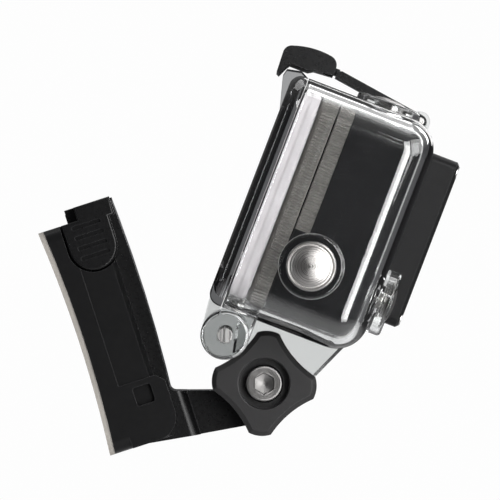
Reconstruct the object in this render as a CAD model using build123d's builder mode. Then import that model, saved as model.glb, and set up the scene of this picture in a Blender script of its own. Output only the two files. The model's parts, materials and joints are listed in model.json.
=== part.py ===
from build123d import *
from math import cos, radians, sin
import os

os.makedirs("parts", exist_ok=True)

# An action camera in a clear waterproof housing, carried by a J-shaped quick-release buckle that
# slides into a curved adhesive base. All sizes are in millimetres.
#
# The pieces are modelled in two frames and moved into the object's frame when they are saved:
#   mount frame   X out of the surface that the base sticks to, Y to the camera's left, Z up along the base,
#                 origin at the middle of the adhesive pad's rear face
#   camera frame  X the way the lens looks, Y to the camera's left, Z up, origin on the thumbscrew's axis
# The object's frame has the mount frame's origin, with +Z up and +X level and forward.

# --- placing -------------------------------------------------------------------------------------
MOUNT_TILT = -18.0  # about Y: the base faces this much above the horizon
CAMERA_TILT = 21.0  # about Y: the camera looks this much below the horizon
PIVOT_X = 31.0  # the thumbscrew's axis in the mount frame
PIVOT_Z = -18.2

MOUNT_PLACE = Location((0, 0, 0), (0, MOUNT_TILT, 0))
PIVOT = MOUNT_PLACE * Location((PIVOT_X, 0, PIVOT_Z))
CAMERA_PLACE = Location(PIVOT.position, (0, CAMERA_TILT, 0))

# --- adhesive base, in the mount frame -----------------------------------------------------------
SURFACE_RADIUS = 230.0  # of the curved surface that the base sticks to
PAD_THICKNESS = 1.0
BASE_WIDTH = 36.0
BASE_LENGTH = 44.4
BASE_CORNER = 2.5
BASE_BOTTOM = -BASE_LENGTH / 2
FLOOR_TOP = 4.5  # floor of the channel
CHANNEL_HALF = 13.5
LIP_UNDER = 9.5  # underside of the lips that hold the buckle down
GAP_HALF = 11.0  # half the gap between the lips
RAIL_TOP = 11.5
RAIL_HALF = 17.5  # outer side of the rails
CHEEK_BASE = 5.5
CHEEK_TOP = 13.3
CHEEK_END = -10.2
STOP_HALF = 11.6  # inner side of the two end stops
STOP_LENGTH = 2.0

# --- quick-release buckle, in the mount frame ----------------------------------------------------
SLIDE_GAP = 0.2  # all round between the buckle and the channel
PLATE_TOP = 9.3
SPINE_FRONT = 14.0
SPINE_END = 24.0
SPINE_HALF = GAP_HALF - SLIDE_GAP
TAB_ROOT = -6.0  # height of the squeeze tabs' hinge ends
TAB_ARM = (11.2, 13.2)  # the tab arm's two sides in Y
TAB_ARM_BASE = 4.9
TAB_ARM_TOP = 8.6  # under the spine, so that it can swing in
TAB_HINGE_Y = 12.2
TAB_ROOT_RADIUS = 1.0
TAB_PAD = (13.4, 17.8)  # the thumb pad's two sides in Y
TAB_MIDDLE = 8.15  # the thumb pad's middle in X
TAB_RADIUS = 4.65  # of the thumb pad's round lower end
TAB_CENTRE = 16.75  # height of that round end's centre
TAB_SHOULDER = 22.2
TAB_END = 24.8

# --- clevis and thumbscrew -----------------------------------------------------------------------
FINGER_RADIUS = 7.4
FINGER = 3.0  # thickness of each finger
HOOK_FINGER_PITCH = 6.2
HOUSING_FINGER_Y = HOOK_FINGER_PITCH / 2
CLEVIS_HALF = HOOK_FINGER_PITCH + FINGER / 2
FINGER_RIM = 0.5  # chamfer round the housing's fingers
FINGER_RIM_TOP = 10.0  # the chamfer runs on edges whose middle is below this height
BOLT_HOLE = 2.5
BOLT_RADIUS = 2.45
NUT_FLATS = 8.0
NUT_SPAN = (7.0, 11.0)
KNOB_SPAN = (-17.0, -7.8)
KNOB_TIP = 10.0  # radius at the middle of a lobe
KNOB_SHOULDER = 9.8  # radius where a lobe's tip ends
KNOB_VALLEY = 7.5
KNOB_LOBE_HALF = 12.5  # half the angle that a lobe's tip covers
KNOB_TURN = -5.0  # the lobes' angle from the object's X axis
BOLT_HEAD_RADIUS = 3.65
BOLT_RECESS_RADIUS = 4.8
BOLT_SEAT = -14.0  # the bolt head's seat in Y

# --- camera body, in the camera frame ------------------------------------------------------------
CAMERA_HALF = 29.75
CAMERA_BOTTOM = 13.4
CAMERA_TOP = 54.5
CAMERA_REAR = -9.0
CAMERA_FRONT = 12.0
CAMERA_CORNER = 4.0
CAMERA_WALL = 1.5
CAMERA_NOSE = 3.0  # fillet round the front face
REAR_HALF_END = -5.5  # front edge of the silver rear half
BAND = (-5.2, -2.2)  # the narrow silver band between the halves
BAND_DEPTH = 1.2
REAR_GROOVES = (-8.0, -6.5)  # the rear edges of the grooves round the silver half
REAR_GROOVE_WIDTH = 0.4
BAND_STOP = 29.5  # on the right side the band ends above the button at this height
LENS_Y = 13.7
LENS_Z = 35.8

# --- housing, in the camera frame ----------------------------------------------------------------
SHELL_HALF = 33.2
SHELL_BOTTOM = 10.8
SHELL_TOP = 57.0
SHELL_REAR = -12.8
SHELL_FRONT = 14.3
SHELL_CORNER = 6.5
SHELL_NOSE = 6.2  # fillet round the front face
CAVITY_HALF = 30.9
CAVITY_BOTTOM = 12.9
CAVITY_TOP = 54.9
CAVITY_FRONT = 12.2
CAVITY_CORNER = 4.6
CAVITY_NOSE = 3.6
DOOR_REAR = -15.9
DOOR_FRONT = -12.95
DOOR_RIM = 2.3  # fillet round the rear face
HINGE_X = -10.3
HINGE_Z = 6.0
HINGE_RADIUS = 4.6
HINGE_PIN = 1.5
LUG_RIM = 0.7  # fillet round the lugs' and lobes' ends
HINGE_LUG = (20.8, 25.8)  # the shell's hinge lugs, each side in Y
HINGE_LOBE = (26.1, 31.0)  # the door's hinge lobes
SEAL_HALF = 30.7
SEAL_BOTTOM = 13.6
SEAL_TOP = 54.7
SEAL_FRONT = -9.2
SEAL_THICKNESS = 1.7

# --- lens box ------------------------------------------------------------------------------------
BEZEL_HALF = 16.9
BEZEL_CORNER = 1.6
BEZEL_FRONT = 20.3
PORT_HALF = 12.0  # square opening through the port frame and the bezel
PORT_CORNER = 2.5
PORT_FRAME_FRONT = 16.3
WINDOW_HALF = 13.8
WINDOW_CORNER = 3.0
WINDOW_SPAN = (17.3, 19.3)
BEZEL_SCREW_AT = 15.0
BEZEL_SCREW_RADIUS = 0.95
BEZEL_SCREW_HEAD = 1.45
BEZEL_SCREW_SINK = 0.9  # how far the heads' seats lie below the lens box's face

# --- latch ---------------------------------------------------------------------------------------
ARM_PIVOT = (9.9, 57.3)
ARM_BARREL = 1.3
ARM_PIN = 0.8
ARM_SPAN = (-6.0, 20.0)
HOOK_PIVOT = (-10.6, 61.2)
HOOK_BARREL = 1.25
HOOK_PIN = 0.7
HOOK_SPAN = (-8.0, 22.0)
TONGUE_SPAN = (2.0, 12.0)
LIP_SPAN = (-7.5, 21.5)

# --- buttons: where they are, and how they work --------------------------------------------------
STEM = 1.5
STEM_BORE = 1.6
RING_BORE = 2.0
CAP_BORE = 4.95
CAP_RADIUS = 4.75
BOSS_RADIUS = 6.3
BOSS_RIM = 0.7
CLIP_THICKNESS = 0.4
PRESS_GAP = 0.95  # from a plunger's end to the camera button under it
CAMERA_BUTTON_RADIUS = 3.0

SIDE_BUTTON = Plane(origin=(0.2, -SHELL_HALF, 24.0), x_dir=(1, 0, 0), z_dir=(0, -1, 0))
SHUTTER_BUTTON = Plane(origin=(3.2, -20.0, SHELL_TOP), x_dir=(1, 0, 0), z_dir=(0, 0, 1))
MODE_BUTTON = Plane(origin=(SHELL_FRONT, -19.0, 22.5), x_dir=(0, 1, 0), z_dir=(1, 0, 0))

# Each button: its plane, the shell's wall there, the gap from wall to camera, the seat's depth below the
# outer face (negative) or height above it, the ring's height, and the travel.
BUTTONS = {
    "side": (SIDE_BUTTON, SHELL_HALF - CAVITY_HALF, CAVITY_HALF - CAMERA_HALF, 0.6, 2.8, 1.2),
    "shutter": (SHUTTER_BUTTON, SHELL_TOP - CAVITY_TOP, CAVITY_TOP - CAMERA_TOP, -0.6, 1.4, 1.0),
    "mode": (MODE_BUTTON, SHELL_FRONT - CAVITY_FRONT, CAVITY_FRONT - CAMERA_FRONT, 0.6, 2.8, 1.2),
}


def across(y):
    """The plane for (X, Z) profiles whose extrusions run from this Y towards -Y."""
    return Plane(origin=(0, y, 0), x_dir=(1, 0, 0), z_dir=(0, -1, 0))


def ahead(x):
    """The plane for (Y, Z) outlines whose extrusions run from this X towards +X."""
    return Plane.YZ.offset(x)


def rectangle_between(low, high, corner=0, mode=Mode.ADD):
    """Add a rectangle to the current sketch, given two opposite corners."""
    width = high[0] - low[0]
    height = high[1] - low[1]
    with Locations(((low[0] + high[0]) / 2, (low[1] + high[1]) / 2)):
        if corner:
            RectangleRounded(width, height, corner, mode=mode)
        else:
            Rectangle(width, height, mode=mode)


def circle_at(point, radius, mode=Mode.ADD):
    """Add a circle to the current sketch."""
    with Locations(point):
        Circle(radius, mode=mode)


def polar(radius, angle):
    """A point of the current sketch, by its distance and its angle in degrees."""
    return (radius * cos(radians(angle)), radius * sin(radians(angle)))


def length_of(span):
    return span[1] - span[0]


def save(piece, name, place):
    """Move a finished piece into the object's frame, label it and write its STEP file."""
    piece.part.locate(place * piece.part.location)
    piece.part.label = name
    export_step(piece.part, f"parts/{name}.step")


# === adhesive pad and base =======================================================================

with BuildPart() as adhesive_pad:
    with BuildSketch(ahead(-PAD_THICKNESS * 3)):
        RectangleRounded(BASE_WIDTH, BASE_LENGTH, BASE_CORNER)
    extrude(amount=PAD_THICKNESS * 6)
    with BuildSketch(Plane.XZ):
        circle_at((-SURFACE_RADIUS, 0), SURFACE_RADIUS + PAD_THICKNESS)
        circle_at((-SURFACE_RADIUS, 0), SURFACE_RADIUS, Mode.SUBTRACT)
    extrude(amount=BASE_WIDTH, both=True, mode=Mode.INTERSECT)

with BuildPart() as mount_base:
    # plate with a flat channel floor and a rear face that follows the pad
    with BuildSketch(ahead(-PAD_THICKNESS * 3)):
        RectangleRounded(BASE_WIDTH, BASE_LENGTH, BASE_CORNER)
    extrude(amount=PAD_THICKNESS * 3 + FLOOR_TOP)
    with BuildSketch(Plane.XZ):
        circle_at((-SURFACE_RADIUS, 0), SURFACE_RADIUS + PAD_THICKNESS)
    extrude(amount=BASE_WIDTH, both=True, mode=Mode.SUBTRACT)
    for side in (1, -1):
        # rail with the lip that reaches over the buckle's plate
        with BuildSketch(Plane.XY.offset(BASE_BOTTOM)):
            with BuildLine():
                Polyline(
                    (FLOOR_TOP - 1, side * CHANNEL_HALF),
                    (LIP_UNDER, side * CHANNEL_HALF),
                    (LIP_UNDER, side * GAP_HALF),
                    (RAIL_TOP, side * GAP_HALF),
                    (RAIL_TOP, side * (RAIL_HALF - 0.9)),
                    (RAIL_TOP - 0.9, side * RAIL_HALF),
                    (FLOOR_TOP - 1, side * RAIL_HALF),
                    close=True,
                )
            make_face()
        extrude(amount=BASE_LENGTH)
        # end stop that the buckle's plate rests on
        with BuildSketch(ahead(FLOOR_TOP - 1)):
            rectangle_between(
                (min(side * STOP_HALF, side * CHANNEL_HALF), BASE_BOTTOM),
                (max(side * STOP_HALF, side * CHANNEL_HALF), BASE_BOTTOM + STOP_LENGTH),
            )
        extrude(amount=LIP_UNDER - FLOOR_TOP + 1)
    # raised cheek with a rounded outer corner at the bottom of each rail
    for outer in (BASE_WIDTH / 2, -CHANNEL_HALF):
        with BuildSketch(across(outer)):
            with BuildLine():
                Polyline(
                    (9.2, BASE_BOTTOM),
                    (CHEEK_BASE - 2, BASE_BOTTOM),
                    (CHEEK_BASE - 2, CHEEK_END),
                    (CHEEK_TOP - 1.5, CHEEK_END),
                    (CHEEK_TOP, CHEEK_END - 1.5),
                    (CHEEK_TOP, -17.4),
                )
                ThreePointArc((CHEEK_TOP, -17.4), (12.1, -20.8), (9.2, BASE_BOTTOM))
            make_face()
        extrude(amount=BASE_WIDTH / 2 - CHANNEL_HALF)
    # square recess in each cheek's outer side
    for outer in (BASE_WIDTH / 2, -BASE_WIDTH / 2 + 1.4):
        with BuildSketch(across(outer)):
            rectangle_between((6.8, -14.9), (10.4, -11.3), 0.5)
        extrude(amount=1.4, mode=Mode.SUBTRACT)
    # the rails are cut back for the thumb pads
    for outer in (BASE_WIDTH / 2 + 1, -GAP_HALF + 0.05):
        with BuildSketch(across(outer)):
            circle_at((TAB_MIDDLE, TAB_CENTRE), TAB_RADIUS + 0.3)
            rectangle_between(
                (TAB_MIDDLE - TAB_RADIUS - 0.3, TAB_CENTRE),
                (TAB_MIDDLE + TAB_RADIUS + 0.3, BASE_LENGTH),
            )
        extrude(amount=BASE_WIDTH / 2 + 1.05 - GAP_HALF, mode=Mode.SUBTRACT)

# === quick-release buckle ========================================================================

with BuildPart() as hook_arm:
    # plate that slides in the channel, narrowed beside the squeeze tabs, with a socket for each tab's root
    with BuildSketch(ahead(FLOOR_TOP + SLIDE_GAP)):
        with BuildLine():
            Polyline(
                (-CHANNEL_HALF + SLIDE_GAP, BASE_BOTTOM + STOP_LENGTH + SLIDE_GAP),
                (CHANNEL_HALF - SLIDE_GAP, BASE_BOTTOM + STOP_LENGTH + SLIDE_GAP),
                (CHANNEL_HALF - SLIDE_GAP, TAB_ROOT),
                (TAB_ARM[0] - 0.2, TAB_ROOT),
                (8.6, SPINE_END),
                (-8.6, SPINE_END),
                (-TAB_ARM[0] + 0.2, TAB_ROOT),
                (-CHANNEL_HALF + SLIDE_GAP, TAB_ROOT),
                close=True,
            )
        make_face()
        for side in (1, -1):
            circle_at((side * TAB_HINGE_Y, TAB_ROOT), TAB_ROOT_RADIUS + 0.1, Mode.SUBTRACT)
    extrude(amount=PLATE_TOP - FLOOR_TOP - SLIDE_GAP)
    # crowned spine in the gap between the lips, and the foot of the arm
    with BuildSketch(across(SPINE_HALF)):
        with BuildLine():
            ThreePointArc((SPINE_FRONT, SPINE_END), (14.45, 5.0), (13.6, -14.1))
            Polyline(
                (13.6, -14.1),
                (16.5, -15.05),
                (16.5, -23.77),
                (5.0, -22.1),
                (5.0, -19.0),
                (PLATE_TOP - 0.5, -19.0),
                (PLATE_TOP - 0.5, SPINE_END),
                (SPINE_FRONT, SPINE_END),
            )
        make_face()
    extrude(amount=2 * SPINE_HALF)
    inner_corner = hook_arm.edges().filter_by(Axis.Y).sort_by_distance((13.6, 0, -14.1))[0]
    fillet(inner_corner, radius=1.2)
    fillet(hook_arm.edges().filter_by(Axis.Z).group_by(Axis.X)[-1], radius=2.0)
    # arm to the clevis
    with BuildSketch(across(CLEVIS_HALF)):
        with BuildLine():
            Polyline(
                (15.5, -14.72),
                (24.2, -17.5),
                (PIVOT_X, PIVOT_Z),
                (PIVOT_X - 1.0, PIVOT_Z - FINGER_RADIUS + 0.07),
                (15.5, -23.6),
                close=True,
            )
        make_face()
        circle_at((PIVOT_X, PIVOT_Z), FINGER_RADIUS)
    extrude(amount=2 * CLEVIS_HALF)
    # two slots for the housing's fingers
    for y in (HOUSING_FINGER_Y, -HOUSING_FINGER_Y):
        with BuildSketch(across(y + FINGER / 2 + 0.1)):
            circle_at((PIVOT_X, PIVOT_Z), FINGER_RADIUS + 0.5)
        extrude(amount=FINGER + 0.2, mode=Mode.SUBTRACT)
    # boss with the pocket of the captive nut, and the bolt hole
    with BuildSketch(across(NUT_SPAN[1] + 0.2)):
        circle_at((PIVOT_X, PIVOT_Z), 6.2)
    extrude(amount=NUT_SPAN[1] + 0.2 - CLEVIS_HALF + 0.5)
    with BuildSketch(across(NUT_SPAN[1] + 0.2)):
        with Locations((PIVOT_X, PIVOT_Z)):
            RegularPolygon(radius=NUT_FLATS / 2, side_count=6, major_radius=False)
    extrude(amount=NUT_SPAN[1] + 0.2 - NUT_SPAN[0], mode=Mode.SUBTRACT)
    with BuildSketch(across(CLEVIS_HALF + 1)):
        circle_at((PIVOT_X, PIVOT_Z), BOLT_HOLE)
    extrude(amount=2 * CLEVIS_HALF + 2, mode=Mode.SUBTRACT)

with BuildPart() as release_tab_left:
    # arm in the channel, hinged at its round lower end
    with BuildSketch(ahead(TAB_ARM_BASE)):
        rectangle_between((TAB_ARM[0], TAB_ROOT), (TAB_ARM[1], TAB_END))
        circle_at((TAB_HINGE_Y, TAB_ROOT), TAB_ROOT_RADIUS)
    extrude(amount=TAB_ARM_TOP - TAB_ARM_BASE)
    # thumb pad with a round lower end and a stepped top
    with BuildSketch(across(TAB_PAD[1])):
        circle_at((TAB_MIDDLE, TAB_CENTRE), TAB_RADIUS)
        rectangle_between(
            (TAB_MIDDLE - TAB_RADIUS, TAB_CENTRE), (TAB_MIDDLE + TAB_RADIUS, TAB_SHOULDER)
        )
        rectangle_between((6.8, TAB_SHOULDER - 1), (13.9, TAB_END))
    extrude(amount=length_of(TAB_PAD))
    fillet(release_tab_left.faces().sort_by(Axis.Y)[-1].edges(), radius=0.5)
    # bridge from the arm to the pad
    with BuildSketch(across(TAB_PAD[0] + 0.3)):
        circle_at((TAB_MIDDLE, TAB_CENTRE), TAB_RADIUS)
        rectangle_between((TAB_ARM_BASE, TAB_CENTRE), (TAB_ARM_TOP, TAB_END))
        rectangle_between((TAB_ARM_BASE, 0), (TAB_ARM_TOP, TAB_END), mode=Mode.INTERSECT)
    extrude(amount=0.6)
    # grip grooves
    for z in (14.6, 16.6, 18.6, 20.6):
        with BuildSketch(across(TAB_PAD[1])):
            rectangle_between((TAB_MIDDLE - 2.9, z), (TAB_MIDDLE + 2.9, z + 0.8), 0.35)
        extrude(amount=0.5, mode=Mode.SUBTRACT)

with BuildPart() as release_tab_right:
    mirror(release_tab_left.part, about=Plane.XZ)

with BuildPart() as clevis_nut:
    with BuildSketch(across(NUT_SPAN[1])):
        with Locations((PIVOT_X, PIVOT_Z)):
            RegularPolygon(radius=NUT_FLATS / 2, side_count=6, major_radius=False)
            Circle(BOLT_HOLE, mode=Mode.SUBTRACT)
    extrude(amount=length_of(NUT_SPAN))

save(adhesive_pad, "adhesive_pad", MOUNT_PLACE)
save(mount_base, "mount_base", MOUNT_PLACE)
save(hook_arm, "hook_arm", MOUNT_PLACE)
save(release_tab_left, "release_tab_left", MOUNT_PLACE)
save(release_tab_right, "release_tab_right", MOUNT_PLACE)
save(clevis_nut, "clevis_nut", MOUNT_PLACE)

# === thumbscrew, in the camera frame =============================================================

with BuildPart() as thumb_knob:
    with BuildSketch(across(KNOB_SPAN[1])):
        with BuildLine():
            for lobe in range(4):
                middle = 90 * lobe + KNOB_TURN + CAMERA_TILT
                start = polar(KNOB_SHOULDER, middle - KNOB_LOBE_HALF)
                end = polar(KNOB_SHOULDER, middle + KNOB_LOBE_HALF)
                next_start = polar(KNOB_SHOULDER, middle - KNOB_LOBE_HALF + 90)
                ThreePointArc(start, polar(KNOB_TIP, middle), end)
                ThreePointArc(end, polar(KNOB_VALLEY, middle + 45), next_start)
        make_face()
    extrude(amount=length_of(KNOB_SPAN))
    chamfer(thumb_knob.faces().sort_by(Axis.Y)[0].edges(), length=0.9)
    chamfer(thumb_knob.faces().sort_by(Axis.Y)[-1].edges(), length=0.4)
    with BuildSketch(across(BOLT_SEAT)):
        Circle(BOLT_RECESS_RADIUS)
    extrude(amount=BOLT_SEAT - KNOB_SPAN[0], mode=Mode.SUBTRACT)
    fillet(thumb_knob.faces().sort_by(Axis.Y)[0].inner_wires().edges(), radius=0.3)
    with BuildSketch(across(0)):
        Circle(BOLT_RADIUS)
    extrude(amount=-KNOB_SPAN[0], mode=Mode.SUBTRACT)

with BuildPart() as thumb_bolt:
    with BuildSketch(across(NUT_SPAN[1] + 0.8)):
        Circle(BOLT_RADIUS)
    extrude(amount=NUT_SPAN[1] + 0.8 - BOLT_SEAT)
    with BuildSketch(across(BOLT_SEAT)):
        Circle(BOLT_HEAD_RADIUS)
    extrude(amount=2.4)
    fillet(thumb_bolt.faces().sort_by(Axis.Y)[0].edges(), radius=0.7)
    with BuildSketch(across(BOLT_SEAT - 1.2)):
        RegularPolygon(radius=1.75, side_count=6, major_radius=False)
    extrude(amount=1.2, mode=Mode.SUBTRACT)
    chamfer(thumb_bolt.faces().sort_by(Axis.Y)[-1].edges(), length=0.5)

save(thumb_knob, "thumb_knob", CAMERA_PLACE)
save(thumb_bolt, "thumb_bolt", CAMERA_PLACE)

# === housing =====================================================================================


def button_places(plane, wall, gap):
    """Heights above the shell's outer face, along a button's axis, of the pieces inside the shell."""
    inner = -wall
    clip = inner - 0.05 - CLIP_THICKNESS
    stem_end = inner - 0.65
    camera_face = inner - gap
    button_top = stem_end - PRESS_GAP
    return clip, stem_end, camera_face, button_top


def is_lug_rim(edge):
    """Whether an edge is the round end of a hinge lug or lobe."""
    return edge.geom_type == GeomType.CIRCLE and abs(edge.radius - HINGE_RADIUS) < 0.01


with BuildPart() as clevis_fingers:
    # two fingers, spread out to the full depth of the shell, with chamfered rims
    for y in (HOUSING_FINGER_Y, -HOUSING_FINGER_Y):
        with BuildSketch(across(y + FINGER / 2)):
            with BuildLine():
                Polyline(
                    (-9.6, 11.8),
                    (11.0, 11.8),
                    (12.9, 15.1),
                    (13.3, 15.1),
                    (7.3, 1.2),
                    (-7.3, 1.2),
                    close=True,
                )
            make_face()
            Circle(FINGER_RADIUS)
        extrude(amount=FINGER)
    rims = clevis_fingers.faces().filter_by(Axis.Y).edges()
    chamfer([edge for edge in rims if edge.center().Z < FINGER_RIM_TOP], length=FINGER_RIM)
    with BuildSketch(across(CLEVIS_HALF)):
        Circle(BOLT_HOLE)
    extrude(amount=2 * CLEVIS_HALF, mode=Mode.SUBTRACT)

with BuildPart() as housing_shell:
    with BuildSketch(ahead(SHELL_REAR)):
        rectangle_between((-SHELL_HALF, SHELL_BOTTOM), (SHELL_HALF, SHELL_TOP), SHELL_CORNER)
    extrude(amount=SHELL_FRONT - SHELL_REAR)
    fillet(housing_shell.faces().sort_by(Axis.X)[-1].edges(), radius=SHELL_NOSE)
    with BuildSketch(ahead(SHELL_REAR)):
        rectangle_between((-CAVITY_HALF, CAVITY_BOTTOM), (CAVITY_HALF, CAVITY_TOP), CAVITY_CORNER)
    extrude(amount=CAVITY_FRONT - SHELL_REAR, mode=Mode.SUBTRACT)
    cavity_end = housing_shell.faces().filter_by(Axis.X).sort_by_distance((CAVITY_FRONT, 0, 30))[0]
    fillet(cavity_end.edges(), radius=CAVITY_NOSE)
    add(clevis_fingers.part)
    # hinge lugs under the rear edge
    for y in (HINGE_LUG[1], -HINGE_LUG[0]):
        with BuildSketch(across(y)):
            circle_at((HINGE_X, HINGE_Z), HINGE_RADIUS)
            rectangle_between((-12.7, HINGE_Z), (-5.7, 11.6))
            circle_at((HINGE_X, HINGE_Z), HINGE_PIN, Mode.SUBTRACT)
        extrude(amount=length_of(HINGE_LUG))
    fillet(housing_shell.edges().filter_by(is_lug_rim), radius=LUG_RIM)
    # flat seat for the lens box, where the nose curves away behind it
    with BuildSketch(ahead(CAVITY_FRONT + 0.1)):
        with Locations((LENS_Y, LENS_Z)):
            RectangleRounded(2 * BEZEL_HALF, 2 * BEZEL_HALF, BEZEL_CORNER)
    extrude(amount=SHELL_FRONT - CAVITY_FRONT - 0.1)
    # raised square frame of the lens port, and the round opening behind it
    with BuildSketch(ahead(SHELL_FRONT - 0.5)):
        with Locations((LENS_Y, LENS_Z)):
            RectangleRounded(2 * WINDOW_HALF, 2 * WINDOW_HALF, WINDOW_CORNER)
    extrude(amount=PORT_FRAME_FRONT - SHELL_FRONT + 0.5)
    with BuildSketch(ahead(SHELL_FRONT - 0.5)):
        with Locations((LENS_Y, LENS_Z)):
            RectangleRounded(2 * PORT_HALF, 2 * PORT_HALF, PORT_CORNER)
    extrude(amount=PORT_FRAME_FRONT - SHELL_FRONT + 0.5, mode=Mode.SUBTRACT)
    with BuildSketch(ahead(CAVITY_FRONT - 1)):
        circle_at((LENS_Y, LENS_Z), PORT_HALF)
    extrude(amount=SHELL_FRONT - CAVITY_FRONT + 2, mode=Mode.SUBTRACT)
    # holes for the bezel's corner screws
    with BuildSketch(ahead(CAVITY_FRONT + 0.5)):
        with Locations((LENS_Y, LENS_Z)):
            with GridLocations(2 * BEZEL_SCREW_AT, 2 * BEZEL_SCREW_AT, 2, 2):
                Circle(BEZEL_SCREW_RADIUS)
    extrude(amount=SHELL_FRONT - CAVITY_FRONT, mode=Mode.SUBTRACT)
    # ring bosses with a stepped bore for the three buttons
    for plane, wall, gap, seat, height, travel in BUTTONS.values():
        with BuildSketch(plane.offset(-0.8)):
            Circle(BOSS_RADIUS)
        extrude(amount=height + 0.8)
        boss_top = housing_shell.faces().sort_by_distance(plane.offset(height).origin)[0]
        fillet(boss_top.edges(), radius=BOSS_RIM)
    for plane, wall, gap, seat, height, travel in BUTTONS.values():
        with BuildSketch(plane.offset(seat)):
            Circle(CAP_BORE)
        extrude(amount=height - seat, mode=Mode.SUBTRACT)
        with BuildSketch(plane.offset(-wall - 1)):
            Circle(STEM_BORE)
        extrude(amount=wall + seat + 1, mode=Mode.SUBTRACT)
        with BuildSketch(plane.offset(-wall - 1)):
            Circle(RING_BORE)
        extrude(amount=wall + seat + 0.6, mode=Mode.SUBTRACT)
    # notch in the top edge for the latch arm, and two lugs that hold its pin
    with BuildSketch(across(ARM_SPAN[1] + 0.3)):
        circle_at(ARM_PIVOT, ARM_BARREL + 0.25)
        rectangle_between((ARM_PIVOT[0], 56.0), (SHELL_FRONT + 1, 60.0))
    extrude(amount=length_of(ARM_SPAN) + 0.6, mode=Mode.SUBTRACT)
    for y in (ARM_SPAN[1] + 2.5, ARM_SPAN[0] - 0.3):
        with BuildSketch(across(y)):
            circle_at(ARM_PIVOT, 1.9)
            rectangle_between((ARM_PIVOT[0] - 2.6, 55.1), (ARM_PIVOT[0] + 1.9, ARM_PIVOT[1]))
        extrude(amount=2.2)
    with BuildSketch(across(ARM_SPAN[1] + 2.5)):
        circle_at(ARM_PIVOT, ARM_PIN)
    extrude(amount=length_of(ARM_SPAN) + 5, mode=Mode.SUBTRACT)

with BuildPart() as lens_bezel:
    with BuildSketch(ahead(SHELL_FRONT)):
        with Locations((LENS_Y, LENS_Z)):
            RectangleRounded(2 * BEZEL_HALF, 2 * BEZEL_HALF, BEZEL_CORNER)
    extrude(amount=BEZEL_FRONT - SHELL_FRONT)
    chamfer(lens_bezel.faces().sort_by(Axis.X)[-1].edges(), length=0.7)
    with BuildSketch(ahead(SHELL_FRONT)):
        with Locations((LENS_Y, LENS_Z)):
            RectangleRounded(2 * WINDOW_HALF + 0.1, 2 * WINDOW_HALF + 0.1, WINDOW_CORNER)
    extrude(amount=WINDOW_SPAN[1] - SHELL_FRONT, mode=Mode.SUBTRACT)
    with BuildSketch(ahead(WINDOW_SPAN[0])):
        with Locations((LENS_Y, LENS_Z)):
            RectangleRounded(2 * PORT_HALF + 1.2, 2 * PORT_HALF + 1.2, PORT_CORNER)
    extrude(amount=4, mode=Mode.SUBTRACT)
    with BuildSketch(ahead(SHELL_FRONT)):
        with Locations((LENS_Y, LENS_Z)):
            with GridLocations(2 * BEZEL_SCREW_AT, 2 * BEZEL_SCREW_AT, 2, 2):
                Circle(BEZEL_SCREW_RADIUS + 0.1)
    extrude(amount=BEZEL_FRONT, mode=Mode.SUBTRACT)
    with BuildSketch(ahead(BEZEL_FRONT - BEZEL_SCREW_SINK)):
        with Locations((LENS_Y, LENS_Z)):
            with GridLocations(2 * BEZEL_SCREW_AT, 2 * BEZEL_SCREW_AT, 2, 2):
                Circle(BEZEL_SCREW_HEAD + 0.05)
    extrude(amount=2, mode=Mode.SUBTRACT)

with BuildPart() as lens_window:
    with BuildSketch(ahead(WINDOW_SPAN[0])):
        with Locations((LENS_Y, LENS_Z)):
            RectangleRounded(2 * WINDOW_HALF, 2 * WINDOW_HALF, WINDOW_CORNER)
    extrude(amount=length_of(WINDOW_SPAN))
    chamfer(lens_window.edges().filter_by(Axis.X, reverse=True), length=0.15)

with BuildPart() as lens_window_seal:
    with BuildSketch(ahead(PORT_FRAME_FRONT)):
        with Locations((LENS_Y, LENS_Z)):
            RectangleRounded(2 * WINDOW_HALF, 2 * WINDOW_HALF, WINDOW_CORNER)
            RectangleRounded(2 * PORT_HALF, 2 * PORT_HALF, PORT_CORNER, mode=Mode.SUBTRACT)
    extrude(amount=WINDOW_SPAN[0] - PORT_FRAME_FRONT)

with BuildPart() as lens_bezel_screws:
    with BuildSketch(ahead(CAVITY_FRONT + 0.6)):
        with Locations((LENS_Y, LENS_Z)):
            with GridLocations(2 * BEZEL_SCREW_AT, 2 * BEZEL_SCREW_AT, 2, 2):
                Circle(BEZEL_SCREW_RADIUS - 0.05)
    extrude(amount=BEZEL_FRONT - BEZEL_SCREW_SINK - CAVITY_FRONT - 0.6)
    with BuildSketch(ahead(BEZEL_FRONT - BEZEL_SCREW_SINK)):
        with Locations((LENS_Y, LENS_Z)):
            with GridLocations(2 * BEZEL_SCREW_AT, 2 * BEZEL_SCREW_AT, 2, 2):
                Circle(BEZEL_SCREW_HEAD)
    extrude(amount=0.8)
    with BuildSketch(ahead(BEZEL_FRONT - 0.5)):
        with Locations((LENS_Y, LENS_Z)):
            with GridLocations(2 * BEZEL_SCREW_AT, 2 * BEZEL_SCREW_AT, 2, 2):
                Rectangle(1.7, 0.4)
                Rectangle(0.4, 1.7)
    extrude(amount=1, mode=Mode.SUBTRACT)

with BuildPart() as hinge_lobes:
    for y in (HINGE_LOBE[1], -HINGE_LOBE[0]):
        with BuildSketch(across(y)):
            circle_at((HINGE_X, HINGE_Z), HINGE_RADIUS)
        extrude(amount=length_of(HINGE_LOBE))
    fillet(hinge_lobes.edges().filter_by(is_lug_rim), radius=LUG_RIM)

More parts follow.
